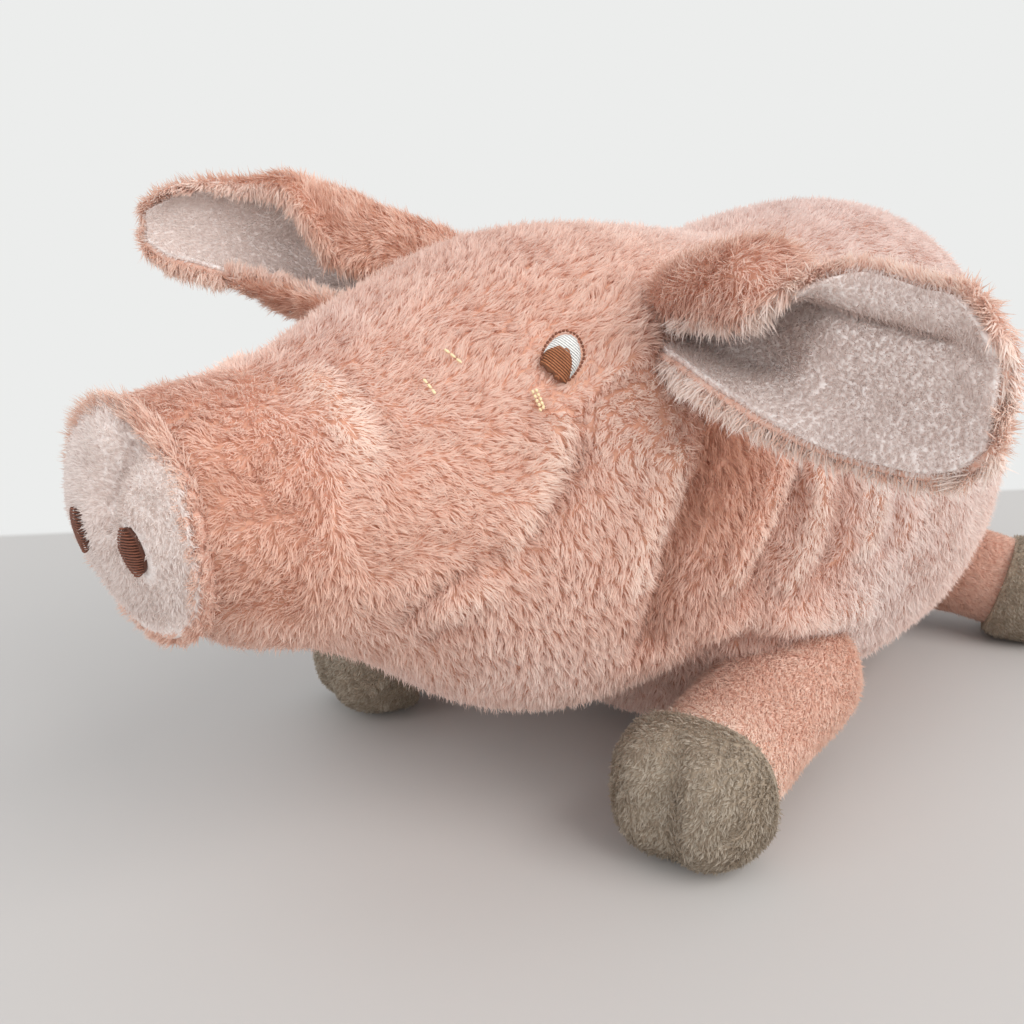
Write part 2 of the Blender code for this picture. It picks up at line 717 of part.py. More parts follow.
def oval(middle, size, lean=0.0, start=0.0, end=360.0, count=24):
    """Points round an oval, or along part of it."""
    turn = np.radians(np.linspace(start, end, count, endpoint=end - start < 360))
    across, up = size[0] * np.cos(turn), size[1] * np.sin(turn)
    cosine, sine = math.cos(math.radians(lean)), math.sin(math.radians(lean))
    x = middle[0] + across * cosine - up * sine
    y = middle[1] + across * sine + up * cosine
    return [(float(a), float(b)) for a, b in zip(x, y)]


def band(path, width, steps=4):
    """The outline of a strip of even width along a curve through a few points."""
    path = np.array(path, float)
    at = np.linspace(0, len(path) - 1, (len(path) - 1) * steps + 1)
    curve = np.stack([smooth_through(np.arange(len(path)), path[:, k], at) for k in range(2)], axis=1)
    way = np.gradient(curve, axis=0)
    way /= np.linalg.norm(way, axis=1, keepdims=True)
    side = np.stack([-way[:, 1], way[:, 0]], axis=1) * width / 2
    return [tuple(p) for p in curve + side] + [tuple(p) for p in (curve - side)[::-1]]


def laid_on(item, tree, middle, across, up):
    """Lays a flat piece on a surface: its X runs across, its Y up, and its thickness outwards."""
    diced(item)
    middle, across, up = Vector(middle), Vector(across).normalized(), Vector(up).normalized()
    for vertex in item.data.vertices:
        x, y, height = vertex.co / MM
        place, normal, _, _ = tree.find_nearest((middle + across * x + up * y) * MM)
        vertex.co = place + normal * (height + 1.5 * GAP) * MM
    body = bmesh.new()
    body.from_mesh(item.data)
    bmesh.ops.recalc_face_normals(body, faces=body.faces)
    body.to_mesh(item.data)
    body.free()
    item.data.update()


def make_eye(side_name, side, tree):
    """One eye's embroidery and the stitches round it, laid on the side of the head."""
    hit = tree.ray_cast(Vector((side * 200, EYE_AT[0], EYE_AT[1])) * MM, Vector((-side, 0, 0)))
    middle, normal = hit[0] / MM, hit[1]
    along = Vector((0, 1, 0)) - normal * normal.y
    up = Vector((0, 0, 1)) - normal * normal.z
    white = flat_pad(f"eye_white_{side_name}", oval((0.3, 0.2), EYE_SIZE), "white_thread")
    room = [size + GAP for size in IRIS_SIZE]
    cut(white, flat_pad("iris_room", oval(IRIS_OFFSET, room), low=-2, high=4))
    iris = flat_pad(f"iris_{side_name}", oval(IRIS_OFFSET, IRIS_SIZE), "iris_thread")
    inner = [size + GAP for size in EYE_SIZE]
    outer = [size + STITCH_WIDTH for size in inner]
    rim = oval((0.3, 0.2), outer, 0, -48, 172) + oval((0.3, 0.2), inner, 0, -48, 172)[::-1]
    pieces = [
        white,
        iris,
        flat_pad(f"eye_outline_{side_name}", rim, "brown_thread"),
        flat_pad(f"under_eye_stitch_{side_name}", band(UNDER_EYE_PATH, STITCH_WIDTH * 1.5), "cream_thread"),
        flat_pad(f"cheek_stitch_{side_name}", band(CHEEK_STITCH_PATH, STITCH_WIDTH), "pink_thread"),
        flat_pad(f"brow_stitch_{side_name}", band(BROW_STITCH_PATH, STITCH_WIDTH * 1.5), "cream_thread"),
    ]
    for piece in pieces:
        laid_on(piece, tree, middle, along, up)


def make_nostril(side_name, side, tree):
    middle = (side * NOSTRIL_AT[0], SNOUT_SEAM_Y - 2 * DISC_BULGE, NOSTRIL_AT[1])
    pad = flat_pad(f"nostril_{side_name}", oval((0, 0), NOSTRIL_SIZE, side * NOSTRIL_LEAN), "brown_thread")
    laid_on(pad, tree, middle, (1, 0, 0), (0, 0, 1))


def make_tail():
    """A curled tube whose root is a ball, so that it turns against the rump."""
    share = np.linspace(0, 1, TAIL_RINGS)
    turn = share * TAIL_TURNS * 2 * math.pi
    opening = TAIL_COIL_RADIUS * np.minimum(1, share * 4) ** 2
    line = np.stack(
        [
            opening * np.sin(turn),
            TAIL_LEAD * np.minimum(1, share * 5) + TAIL_PITCH * share * TAIL_TURNS,
            opening * (1 - np.cos(turn)),
        ],
        axis=1,
    )
    line += np.array(TAIL_ROOT, float)
    ways = [Vector(way).normalized() for way in np.gradient(line, axis=0)]
    root = Vector(TAIL_ROOT)
    stations = [(root - ways[0] * TAIL_RADIUS * math.cos(a), ways[0], math.sin(a)) for a in (0.5, 1.0)]
    sizes = np.minimum(1, TAIL_END + 9 * (1 - share))
    stations += [(Vector(place), way, size) for place, way, size in zip(line, ways, sizes)]
    circle = np.linspace(0, 2 * math.pi, TAIL_SIDES, endpoint=False)
    rings = []
    for place, way, size in stations:
        frame = way.to_track_quat("Z", "X").to_matrix() * TAIL_RADIUS * size
        rings.append([tuple(place + frame @ Vector((math.cos(a), math.sin(a), 0))) for a in circle])
    end = Vector(line[-1]) + ways[-1] * TAIL_RADIUS * TAIL_END
    closed_tube("tail", rings, [tuple(root - ways[0] * TAIL_RADIUS), tuple(end)], "long_pile")


def hang_on(joint, pivot, pieces):
    """Hangs pieces on an empty at their joint, with their origins there too."""
    pivot = Vector(pivot) * MM
    holder = bpy.data.objects.new(joint, None)
    holder.empty_display_size = 0.02
    holder.location = pivot
    bpy.context.scene.collection.objects.link(holder)
    for name in pieces:
        item = bpy.data.objects[name]
        item.data.transform(Matrix.Translation(-pivot))
        item.parent = holder


def hang_all():
    """Puts every moving piece on the axis that it turns about."""
    face = ["eye_white", "iris", "eye_outline", "under_eye_stitch", "cheek_stitch", "brow_stitch", "nostril"]
    head = ["head_cover", "head_filling", "snout_disc"]
    head += [f"{name}_{side}" for name in face for side in ("left", "right")]
    hang_on("neck_axis", (0, *NECK_PIVOT), head)
    for name, ear in EARS.items():
        hang_on(f"ear_{name}_axis", ear["root"], [f"ear_{name}_back", f"ear_{name}_lining"])
    for leg, (hip, _) in LEGS.items():
        hang_on(f"hip_{leg}_axis", hip, [f"leg_{leg}_cover", f"leg_{leg}_filling", f"hoof_{leg}"])
    hang_on("tail_axis", TAIL_ROOT, ["tail"])


def main():
    clear_scene()
    make_torso()
    make_head()
    make_disc()
    for leg in LEGS:
        make_leg(leg)
    for name, ear in EARS.items():
        make_ear(name, ear)
    head_surface = surface_of(bpy.data.objects["head_cover"])
    disc_surface = surface_of(bpy.data.objects["snout_disc"])
    for side_name, side in (("left", 1), ("right", -1)):
        make_eye(side_name, side, head_surface)
        make_nostril(side_name, side, disc_surface)
    make_tail()
    hang_all()


main()
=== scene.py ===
"""The looks of a lying plush pig: stuffed skins, combed pile, embroidery and a plain stage.

It is laid out as an add-on and run as a script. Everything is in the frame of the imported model:
metres, +Z up, the pig facing -Y. Tables of sizes are in millimetres, and MM turns them into metres.
"""

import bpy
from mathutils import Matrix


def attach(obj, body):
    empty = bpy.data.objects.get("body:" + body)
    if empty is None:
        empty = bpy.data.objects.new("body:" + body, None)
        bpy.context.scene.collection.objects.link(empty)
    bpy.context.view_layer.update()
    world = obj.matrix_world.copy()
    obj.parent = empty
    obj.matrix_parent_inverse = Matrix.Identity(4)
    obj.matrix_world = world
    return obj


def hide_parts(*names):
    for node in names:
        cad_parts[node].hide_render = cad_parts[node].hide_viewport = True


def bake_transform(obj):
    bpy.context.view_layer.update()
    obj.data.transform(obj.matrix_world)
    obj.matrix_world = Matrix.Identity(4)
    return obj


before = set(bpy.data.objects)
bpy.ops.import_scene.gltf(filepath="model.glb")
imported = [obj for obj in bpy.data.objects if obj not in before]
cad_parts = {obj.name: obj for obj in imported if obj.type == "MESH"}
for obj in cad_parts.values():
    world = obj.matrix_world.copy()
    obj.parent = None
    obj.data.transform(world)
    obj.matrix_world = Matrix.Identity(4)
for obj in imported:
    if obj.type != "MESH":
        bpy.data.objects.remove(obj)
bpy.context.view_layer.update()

import math

import bmesh
import bpy
import numpy as np
from bpy.props import FloatProperty, FloatVectorProperty, IntProperty, PointerProperty
from mathutils import Matrix, Vector
from mathutils.bvhtree import BVHTree

bl_info = {
    "name": "Plush pig",
    "version": (1, 0, 0),
    "blender": (4, 5, 0),
    "location": "View3D > Sidebar > Plush pig",
    "description": "Dresses the frame of a lying plush pig in skins, pile and embroidery",
    "category": "Object",
}

MM = 0.001

# Torso and head, as stations along Y: place, half width, top, bottom, height of the widest place
TORSO_STATIONS = (
    (-110, 68, 168, 24, 96),
    (-79, 77, 170, 8, 92),
    (-44, 80, 168, 2, 88),
    (-4, 83, 176, -0.5, 86),
    (28, 80, 180, -0.5, 86),
    (68, 70, 177, 7, 90),
    (114, 58, 166, 24, 94),
)
TORSO_CAPS = ((34, 98), (62, 96))  # how far each end takes to close, and the height it closes at
HEAD_STATIONS = (
    (-258, 24, 128, 90, 110),
    (-240, 31, 137, 79, 108),
    (-226, 34.5, 138.5, 73, 106),
    (-210, 37, 141.5, 69, 104),
    (-195, 41, 148, 62, 102),
    (-180, 48, 155, 53, 98),
    (-165, 56, 160.5, 42, 95),
    (-150, 63, 166, 34, 94),
    (-130, 68.5, 170.5, 29, 96),
    (-105, 70, 172, 28, 99),
    (-79, 70.5, 171, 29, 100),
    (-8, 70.5, 171, 29, 100),
)
HEAD_CAPS = ((12, 108), (71, 100))
SNOUT_SEAM_Y = -246.5

# Folds of the skin, as lines on the pig's left side that are mirrored to its right one: points,
# height in millimetres (below 0 for a valley), half width, and how much lighter the pile is painted
# there: painted highlight along ridges, painted shade in valleys
FOLDS = (
    (((48.4, -161.5, 131.2), (51.1, -162.9, 124.4), (51.9, -166.5, 117.2), (51.9, -169.6, 110.9),
      (50.5, -174.8, 101.8), (47.8, -179.9, 94.2)), 2.8, 3.4, 0.5),
    (((54.2, -154.9, 126.2), (55.6, -157.1, 120.1), (54.9, -162.6, 113.4), (53.3, -168.8, 105.4),
      (50.3, -175.6, 97.5), (45.5, -184.0, 92.0)), -3.4, 3.8, -0.26),
    (((46.5, -182.0, 95.5), (43.0, -187.8, 91.4), (40.3, -191.4, 88.4), (37.6, -193.8, 84.8),
      (34.5, -196.0, 81.3), (29.0, -198.5, 76.0)), -4.6, 1.9, -0.5),
    (((48.0, -178.0, 90.0), (44.0, -183.5, 86.0), (39.5, -188.0, 82.5), (35.0, -192.0, 78.0)),
     2.2, 2.8, 0.3),
    (((42.7, -180.4, 78.0), (38.9, -184.2, 76.2), (35.5, -187.4, 74.9), (27.0, -191.5, 69.5)),
     -3.0, 2.0, -0.35),
    (((65.0, -129.6, 119.2), (65.7, -135.1, 112.5), (65.7, -139.9, 104.8), (64.8, -144.4, 96.8),
      (64.1, -145.9, 89.1), (62.2, -147.4, 80.3)), 2.6, 4.2, 0.42),
    (((60.0, -118.0, 136.0), (66.3, -115.3, 124.0), (67.8, -119.0, 112.9), (68.3, -125.4, 106.1),
      (68.2, -131.1, 96.6), (67.2, -134.6, 87.8), (63.9, -134.9, 74.0), (56.0, -131.0, 56.0)),
     -7.0, 7.0, -0.42),
    (((69.8, -89.2, 114.0), (70.1, -97.6, 99.6), (68.6, -108.0, 85.5), (65.0, -112.6, 73.1)), 3.6, 4.0, 0.5),
    (((71.5, -84.1, 108.5), (71.0, -88.2, 98.1), (68.2, -95.2, 82.6), (62.6, -96.6, 66.9)), -3.4, 3.2, -0.3),
    (((74.5, -79.8, 108.5), (74.7, -80.6, 91.0), (72.4, -83.9, 76.9), (67.8, -86.8, 68.2)), 2.8, 3.4, 0.5),
    (((78.0, -66.4, 106.9), (77.5, -69.4, 87.4), (73.1, -76.5, 72.2)), -3.4, 4.4, -0.3),
    (((78.9, -52.8, 112.4), (79.3, -53.2, 88.9), (77.2, -59.2, 74.4)), 2.8, 4.2, 0.42),
    (((80.5, -36.0, 112.0), (80.5, -38.0, 90.0), (78.0, -44.0, 72.0)), -2.4, 5.0, -0.2),
    (((25.2, -228.7, 127.6), (28.9, -230.9, 122.4), (31.4, -231.9, 116.7)), -1.8, 1.8, -0.5),
    (((31.4, -231.6, 117.1), (33.6, -225.6, 113.1)), -1.4, 1.8, -0.4),
    (((9.5, -203.6, 143.6), (20.0, -203.0, 139.2), (28.2, -201.3, 134.3), (33.2, -200.6, 127.9),
      (36.4, -201.3, 120.8)), -2.8, 2.2, -0.3),
    (((11.5, -209.3, 139.7), (20.0, -208.9, 135.6), (26.0, -207.8, 130.9), (30.5, -207.6, 125.1),
      (33.2, -207.3, 118.8)), 3.0, 4.0, 0.5),
    (((20.5, -196.9, 143.6), (26.1, -196.7, 139.2)), -1.6, 1.6, -0.4),
    (((27.1, -189.9, 141.8), (33.2, -187.7, 136.0)), -2.0, 1.6, -0.4),
    (((24.1, -193.0, 142.3), (30.2, -191.7, 137.0)), 1.4, 2.0, 0.25),
    (((15.2, -195.6, 146.0), (20.4, -194.0, 143.2)), -1.4, 1.6, -0.3),
    (((61.3, -112.5, 60.4), (60.1, -97.4, 61.9), (64.6, -87.3, 61.4), (71.0, -76.6, 60.5),
      (73.0, -55.9, 56.9), (74.0, -42.0, 54.0)), 5.0, 6.5, 0.22),
    (((47.9, -98.0, 46.2), (55.3, -92.3, 52.0), (62.2, -86.4, 52.3), (68.7, -74.6, 50.5),
      (68.7, -47.7, 42.3)), -3.0, 3.5, -0.35),
)
# Folds of the disc, as lines in front of it, with the same columns: painted highlight and painted shade
DISC_FOLDS = (
    (((19.5, -248, 138.0), (11.0, -250, 128.5), (5.5, -252, 121.0), (3.0, -253, 113.0),
      (2.5, -253, 106.0)), -4.4, 4.4, -0.15),
    (((24.0, -250, 126.0), (20.0, -252, 116.0)), 1.0, 7.0, 0.1),
    (((4.0, -251, 133.0), (-3.0, -253, 122.0)), 1.4, 6.0, 0.05),
)

# The nap: at each place on the left side, the way it lies, its tone (0 deep to 1 pale), and its
# warmth (0 cool to 1 warm). The tones hold the pile's own colour and painted light too: painted
# shade at the neck under the ear's root, painted light behind the eye where the ear's shadow falls,
# and pale flanks that are partly their own colour and partly painted light
NAP = (
    ((0, -235, 138), (0, -0.8, 0.6), 0.55, 0.65),
    ((30, -232, 118), (0.2, -0.8, 0.2), 0.45, 1.0),
    ((34, -228, 95), (0.1, -0.8, -0.4), 0.5, 0.95),
    ((20, -232, 76), (0.1, -0.4, -0.8), 0.6, 0.6),
    ((25, -210, 130), (0.4, 0.5, -0.6), 0.77, 0.65),
    ((0, -195, 150), (0, 0.9, 0.4), 0.6, 0.35),
    ((30, -185, 140), (0.2, 0.8, 0.3), 0.62, 0.7),
    ((40, -205, 105), (0.3, 0.8, -0.3), 0.64, 0.95),
    ((45, -185, 112), (0.3, 0.9, -0.1), 0.7, 0.9),
    ((30, -200, 70), (0.2, 0.5, -0.8), 0.62, 0.6),
    ((0, -150, 167), (0, 1, 0.2), 0.5, 0.5),
    ((48, -150, 150), (-0.1, 0.9, 0.5), 0.58, 0.8),
    # painted light, against the shadow of the ear
    ((60, -140, 125), (-0.3, -0.8, -0.5), 0.95, 0.6),
    ((60, -150, 90), (0, 0.3, -0.9), 0.68, 0.75),
    ((40, -160, 50), (-0.2, 0, -1), 0.72, 0.4),
    ((0, -170, 45), (0, 0.9, 0), 0.66, 0.3),
    # painted shade under the root of the ear, at the neck
    ((68, -112, 115), (0, -0.4, -0.9), 0.1, 1.0),
    ((66, -114, 98), (0, -0.4, -0.9), 0.3, 1.0),
    ((67, -120, 80), (0, -0.3, -1), 0.45, 0.7),
    ((74, -85, 90), (0, -0.5, -0.8), 0.55, 0.5),
    ((80, -45, 110), (0, -0.4, -0.9), 0.9, 0.0),
    ((78, -40, 55), (-0.1, -0.3, -1), 0.88, 0.0),
    ((83, 10, 110), (0, 0.3, -1), 0.92, 0.0),
    ((60, 20, 160), (0.5, 0.4, -0.7), 0.7, 0.1),
    ((0, 20, 180), (0, 1, 0), 0.58, 0.05),
    ((0, -70, 172), (0, 1, 0), 0.7, 0.3),
    ((55, 90, 120), (0.2, 0.7, -0.7), 0.72, 0.1),
    ((0, 114, 110), (0, 0.1, -1), 0.65, 0.2),
    ((50, 70, 50), (0, 0.3, -1), 0.55, 0.4),
    ((0, 0, 0), (0, 1, 0), 0.6, 0.3),
)

# Snout disc
DISC_HALF_WIDTH, DISC_MIDDLE, DISC_HALF, DISC_BULGE, DISC_RIM = 28.8, 108, 28, 6, 3
DISC_FRONT = SNOUT_SEAM_Y - DISC_RIM - DISC_BULGE
DISC_HEM_INSET, DISC_HEM_RADIUS = 2.2, 2.3
DISC_FULLNESS = 2.2
SNOUT_LEAN = 4.5  # how far the lower lip sinks back

# Legs: hip and hoof centre
LEGS = {
    "front_left": ((57, -58, 31), (67, -121, 21)),
    "front_right": ((-57, -58, 31), (-74, -122, 21)),
    "hind_left": ((26, 97, 31), (66, 113, 21)),
    "hind_right": ((-26, 97, 31), (-66, 113, 21)),
}
HIP_RADIUS, LEG_RADIUS, LEG_FLATNESS = 22.5, 20.5, 0.97
HOOF_SIZE = (23.2, 23.5, 21.5)
HOOF_SEAM_BACK, HIND_HOOF_SEAM_BACK, HOOF_SEAM_LEAN = 3, 10, 14
CLEFT_DEPTH, CLEFT_WIDTH, HOOF_SQUARENESS, HOOF_INSET = 3, 5, 2.6, 0.9
# Painted shade: how much deeper the hind legs' pile is painted, as they lie in shade under the rump
HIND_LEG_PAINTED_SHADE = 0.338

# Ears. Forward and rise turn and lift the ear, and arch bows it. Cloth is its width below and above
# its axis at shares of the length. Folds are how it runs from the lower rim to the upper one, at
# the places in across, in degrees from straight forward. Drawn in is the share of the length by
# which the root end lies under the head's cover. Dents are place, height, depth, length and width
EAR_LENGTH, EAR_AXIS = 92, 5 / 12
EAR_GRID, EAR_HEM_RADIUS, FRINGE_STANDING = (44, 84), 1.2, 0.8
EAR_BACK_BETWEEN, EAR_LINING_BETWEEN = (-2.2, -0.1), (0.1, 1.6)  # from the seam's surface
EARS = {
    "left": {
        "side": 1,
        "root": (54, -113, 146),
        "forward": 15,
        "rise": -6,
        "arch": 3,
        # Lining tone, painted: the near ear's lining is painted deeper than the far one's, as painted shade
        "tone": 0.3,
        "drawn_in": 0.04,
        "roll": (0.45, -0.48),
        "cloth": (
            (0, 13.1, 18.3), (0.12, 18.7, 26.1), (0.35, 22.9, 32), (0.6, 23.3, 32.7),
            (0.82, 21.5, 30.1), (0.94, 17.3, 24.2), (1, 10.7, 15),
        ),
        "low_rim": (1.2, 0.3),
        "warmth": 0.75,
        "across": (0, 0.2, 0.35, 0.45, 0.52, 0.58, 0.64, 0.7, 0.78, 0.86, 0.93, 1),
        "folds": (
            (0, (185, 165, 135, 108, 92, 85, 74, 45, 0, -45, -75, -100)),
            (0.12, (185, 160, 128, 104, 92, 86, 72, 36, -10, -55, -90, -115)),
            (0.36, (170, 142, 112, 100, 92, 86, 70, 34, -10, -52, -85, -110)),
            (0.48, (148, 122, 102, 100, 118, 92, 30, 5, 5, -5, -20, -35)),
            (0.62, (118, 104, 98, 108, 140, 92, 0, 12, 60, 95, 112, 120)),
            (0.8, (115, 100, 95, 104, 132, 92, 5, 18, 55, 85, 100, 108)),
            (0.92, (110, 97, 92, 92, 100, 84, 62, 62, 70, 75, 75, 75)),
            (1, (105, 98, 93, 90, 88, 86, 84, 80, 74, 64, 55, 45)),
        ),
        "dents": (
            (0.3, 0.3, -4.0, 0.15, 0.12), (0.5, 0.26, 2.4, 0.06, 0.16), (0.72, 0.3, -1.5, 0.14, 0.14),
        ),
    },
    "right": {
        "side": -1,
        "root": (-54, -113, 146),
        "forward": 42,
        "rise": 24,
        "arch": 4,
        # Lining tone, painted: the far ear's lining is painted lighter than the near one's, as painted light
        "tone": 0.6,
        "drawn_in": 0.12,
        "roll": (0.0, 0.0),
        "cloth": (
            (0, 22, 36), (0.12, 28, 44), (0.3, 30, 47), (0.47, 28, 32), (0.63, 20, 21),
            (0.8, 12, 16), (0.92, 9.5, 11), (1, 5, 6),
        ),
        "low_rim": (0.7, 0.7),
        "warmth": 0.95,
        "across": (0, 0.1, 0.2, 0.3, 0.4, 0.52, 0.62, 0.72, 0.82, 0.92, 1),
        "folds": (
            (0, (252, 218, 140, 110, 95, 92, 82, 15, -70, -88, -95)),
            (0.3, (252, 216, 138, 108, 95, 92, 80, 12, -70, -86, -92)),
            (0.47, (250, 212, 135, 107, 96, 90, 80, 66, 40, -5, -45)),
            (0.63, (225, 185, 132, 107, 96, 90, 82, 72, 56, 25, -5)),
            (0.8, (165, 142, 120, 106, 96, 90, 86, 80, 68, 45, 20)),
            (1, (135, 122, 112, 104, 96, 90, 88, 84, 76, 64, 50)),
        ),
        "dents": ((0.45, 0.5, -2.5, 0.14, 0.08), (0.72, 0.42, 1.2, 0.08, 0.16)),
    },
}

# Face. The eye's frame lies on the side of the head at this Y and Z, with X along the head to
# its back and Y up. The eye is a disc whose lower front is cut off by the cheek
EYE_AT = (-155.5, 139.5)
EYE_OUTLINE = (
    (-5.9, 1.1), (-5.2, 2.5), (-4.1, 4.0), (-2.6, 5.1), (-1.2, 5.9), (0.4, 6.3), (1.9, 6.3), (3.3, 5.5),
    (4.6, 4.4), (5.3, 3.0), (5.7, 1.4), (5.8, -0.3), (5.4, -2.0), (4.5, -3.3), (3.2, -4.6), (1.6, -5.7),
    (-0.2, -6.5),
)
WHITE_OUTLINE = (
    (-5.4, 0.9), (-4.7, 2.5), (-3.7, 3.8), (-2.3, 4.8), (-0.8, 5.7), (0.8, 6.1), (2.4, 6.0), (3.8, 5.2),
    (4.9, 4.1), (5.4, 2.8), (5.7, 1.3), (5.6, -0.2), (5.2, -1.7), (4.5, -2.9), (3.2, -4.2), (1.6, -5.4),
    (0.0, -6.1), (-1.7, -3.9), (-3.8, -1.4),
)
IRIS_OUTLINE = (
    (-6.0, 1.0), (-5.1, 2.3), (-3.8, 3.0), (-2.5, 3.2), (-0.8, 3.0), (0.7, 1.9), (1.9, 0.5), (2.4, -1.0),
    (2.1, -2.5), (1.5, -4.1), (0.9, -5.5), (-0.2, -6.6), (-1.5, -5.5), (-3.0, -4.5), (-3.2, -3.0),
    (-4.4, -2.2), (-5.0, -0.6), (-6.0, 0.3),
)
UNDER_EYE_PATHS = (
    ((-9.7, -5.6), (-9.2, -7.2), (-8.6, -9.2), (-7.6, -11.9)),
    ((-8.7, -5.6), (-8.2, -7.2), (-7.6, -9.2), (-6.9, -11.6)),
)
CHEEK_STITCH_PATH = ((-6.4, -13.1), (-3.5, -14.8), (-0.6, -15.5), (1.1, -15.5), (2.9, -15.2))
BROW_STITCHES = (
    ((30.7, -188.1, 136.6), (33.6, -187.2, 133.4)), ((29.6, -180.4, 142.8), (33.3, -178.6, 139.8)),
)
NOSTRIL_AT, NOSTRIL_SIZE, NOSTRIL_LEAN = (12.9, 104.4), (4.0, 6.4), 10
THREAD_SIDES, THREAD_END_SUNK, PATCH_ROOT = 6, 0.3, 0.8

# Tail
TAIL_ROOT, TAIL_LEAD, TAIL_COIL_RADIUS = (0, 117.8, 112), 5, 9
TAIL_TURNS, TAIL_PITCH, TAIL_RADIUS, TAIL_INSET = 1.2, 7, 4.4, 1.4

# Camera, as worked out from the photograph
CAMERA_AT = (225.72, -353.76, 173.36)
CAMERA_TURN, CAMERA_PITCH, CAMERA_ANGLE, SENSOR_WIDTH = 45, 15, 50, 36

# Stretches of the body's pile along Y, each with its own way of lying
STRETCHES = (
    ("snout", -400, -185), ("cheek", -185, -105), ("neck", -105, -45), ("shoulder", -45, 20),
    ("flank", 20, 70), ("rump", 70, 400),
)
# A pile's inputs: strands on a square metre; widths in metres; rise, reach, upright and pull as
# shares of its length; turns in radians; spread, and the painted shade at the root, as shares of the tone
USUAL_PILE = {
    "density": 4e6, "length": 4.2 * MM, "width": 0.36 * MM, "rise": 0.42, "reach": 0.75,
    "upright": 0.5, "clump": 3.2 * MM, "pull": 0.7, "swirl": 12 * MM, "turn": 0.8, "stray": 0.35,
    "spread": 0.2, "root_drop": 0.2,
}
CURLY = {"turn": 1.2, "swirl": 8 * MM, "clump": 2.6 * MM, "stray": 0.5}
SMOOTH = {"spread": 0.1, "pull": 0.5}
PILES = {  # what differs from the usual
    "snout": CURLY,
    "cheek": {},
    "neck": CURLY,
    "shoulder": SMOOTH,
    "flank": SMOOTH,
    "rump": SMOOTH,
    "disc": {
        "density": 4.5e6, "width": 0.4 * MM, "rise": 0.62, "clump": 1.6 * MM, "pull": 0.6,
        "swirl": 5 * MM, "turn": 1.0, "stray": 0.7,
    },
    "disc_fringe": {"density": 5e6, "length": 2.8 * MM, "rise": 0.6, "stray": 0.8},
    "leg": {
        "density": 6e6, "width": 0.4 * MM, "rise": 0.28, "clump": 3.0 * MM, "pull": 0.3,
        "stray": 0.3, "spread": 0.06, "root_drop": 0.05,
    },
    "hoof": {
        "density": 4.2e6, "width": 0.42 * MM, "rise": 0.45, "clump": 1.5 * MM, "pull": 0.8,
        "swirl": 5 * MM, "turn": 1.2, "stray": 0.5, "spread": 0.5,
    },
    "ear_back": {"length": 5.6 * MM, "clump": 2.6 * MM, "stray": 0.6, "spread": 0.5},
    "ear_lining": {
        "density": 4.6e6, "rise": 0.55, "clump": 1.3 * MM, "pull": 0.35, "swirl": 7 * MM,
        "stray": 0.6, "spread": 0.09,
    },
    "ear_fringe": {
        "density": 4.6e6, "width": 0.5 * MM, "rise": 0.3, "reach": 0.7, "clump": 2.6 * MM,
        "pull": 0.95, "stray": 0.5, "spread": 0.3, "root_drop": 0.1,
    },
    "tail": {"rise": 0.3},
}
FLOOR_GAP = 0.3 * MM  # how far above the floor every strand stays

# Fabrics by the colours they take. Piles: name, warm colours and cool ones from deep to pale, and
# sheen. Backings: colour, and colour between the loops, which is painted shade
PILE_FABRICS = {
    "long_pile": (
        "brushed_long_pile",
        ("warm_deep", "warm_main", "warm_pale"),
        ("cool_deep", "cool_main", "cool_pale"),
        0.3,
    ),
    "short_pile": (
        "short_curled_pile", ("short_deep", "short_pale"), ("short_deep", "short_pale"), 0.2,
    ),
    "hoof_pile": ("short_taupe_pile", ("hoof_deep", "hoof_pale"), ("hoof_deep", "hoof_pale"), 0.15),
}
BACKINGS = {
    "pink_knit_backing": ("backing", "warm_deep"),
    "rim_knit_backing": ("rim_backing", "backing"),
    "pale_knit_backing": ("short_pale", "short_deep"),
    "taupe_knit_backing": ("hoof_deep", "hoof_deep"),
}
# Threads: colour, and how bright the thread and the groove between its plies are; the groove's darker colour is
# painted shade, and the threads in shade are darker copies, painted shade for the stitching under the top threads
THREADS = {
    "white_embroidery_thread": ("white_thread", 1, 0.75),
    "brown_embroidery_thread": ("brown_thread", 1, 0.5),
    "white_thread_in_shade": ("white_thread", 0.62, 0.5),
    "tan_thread_in_shade": ("iris_thread", 0.45, 0.3),
    "brown_thread_in_shade": ("brown_thread", 0.5, 0.35),
    "tan_embroidery_thread": ("iris_thread", 1, 0.5),
    "cream_embroidery_thread": ("cream_thread", 1, 0.8),
    "pink_embroidery_thread": ("pink_thread", 1, 0.7),
}

# Stage, in metres: the table's far edge ahead of the camera and to its left and right, the lamps
# (name, place, size, watts, colour), the place that they light, and the room's own light
TABLE_LEFT_END, TABLE_RIGHT_END = (0.597, -0.278), (0.703, 0.328)
TABLE_REACH, TABLE_EDGE_BLUR = 4.0, 0.006
LAMPS = (
    ("window", (3.3, 0.19, 2.43), 3.4, 136.0, (1.0, 0.985, 0.965)),
    ("reflector", (0.1, -2.4, 1.15), 2.0, 21.0, (0.98, 0.99, 1.0)),
)
LAMPS_AIM = (0, -0.08, 0.08)
ROOM_LIGHT, ROOM_STRENGTH = (0.93, 0.97, 1.0, 1), 0.83


def linear(hex_colour):
    """An sRGB hex colour as linear RGB."""
    channels = [int(hex_colour[i : i + 2], 16) / 255 for i in (1, 3, 5)]
    return tuple(c / 12.92 if c <= 0.04045 else ((c + 0.055) / 1.055) ** 2.4 for c in channels)


def length_property(name, description, default):
    return FloatProperty(
        name=name, description=description, default=default * MM, unit="LENGTH", precision=5
    )


def colour_property(name, description, default):
    return FloatVectorProperty(
        name=name, description=description, default=linear(default), subtype="COLOR", size=3,
        min=0, max=1,
    )


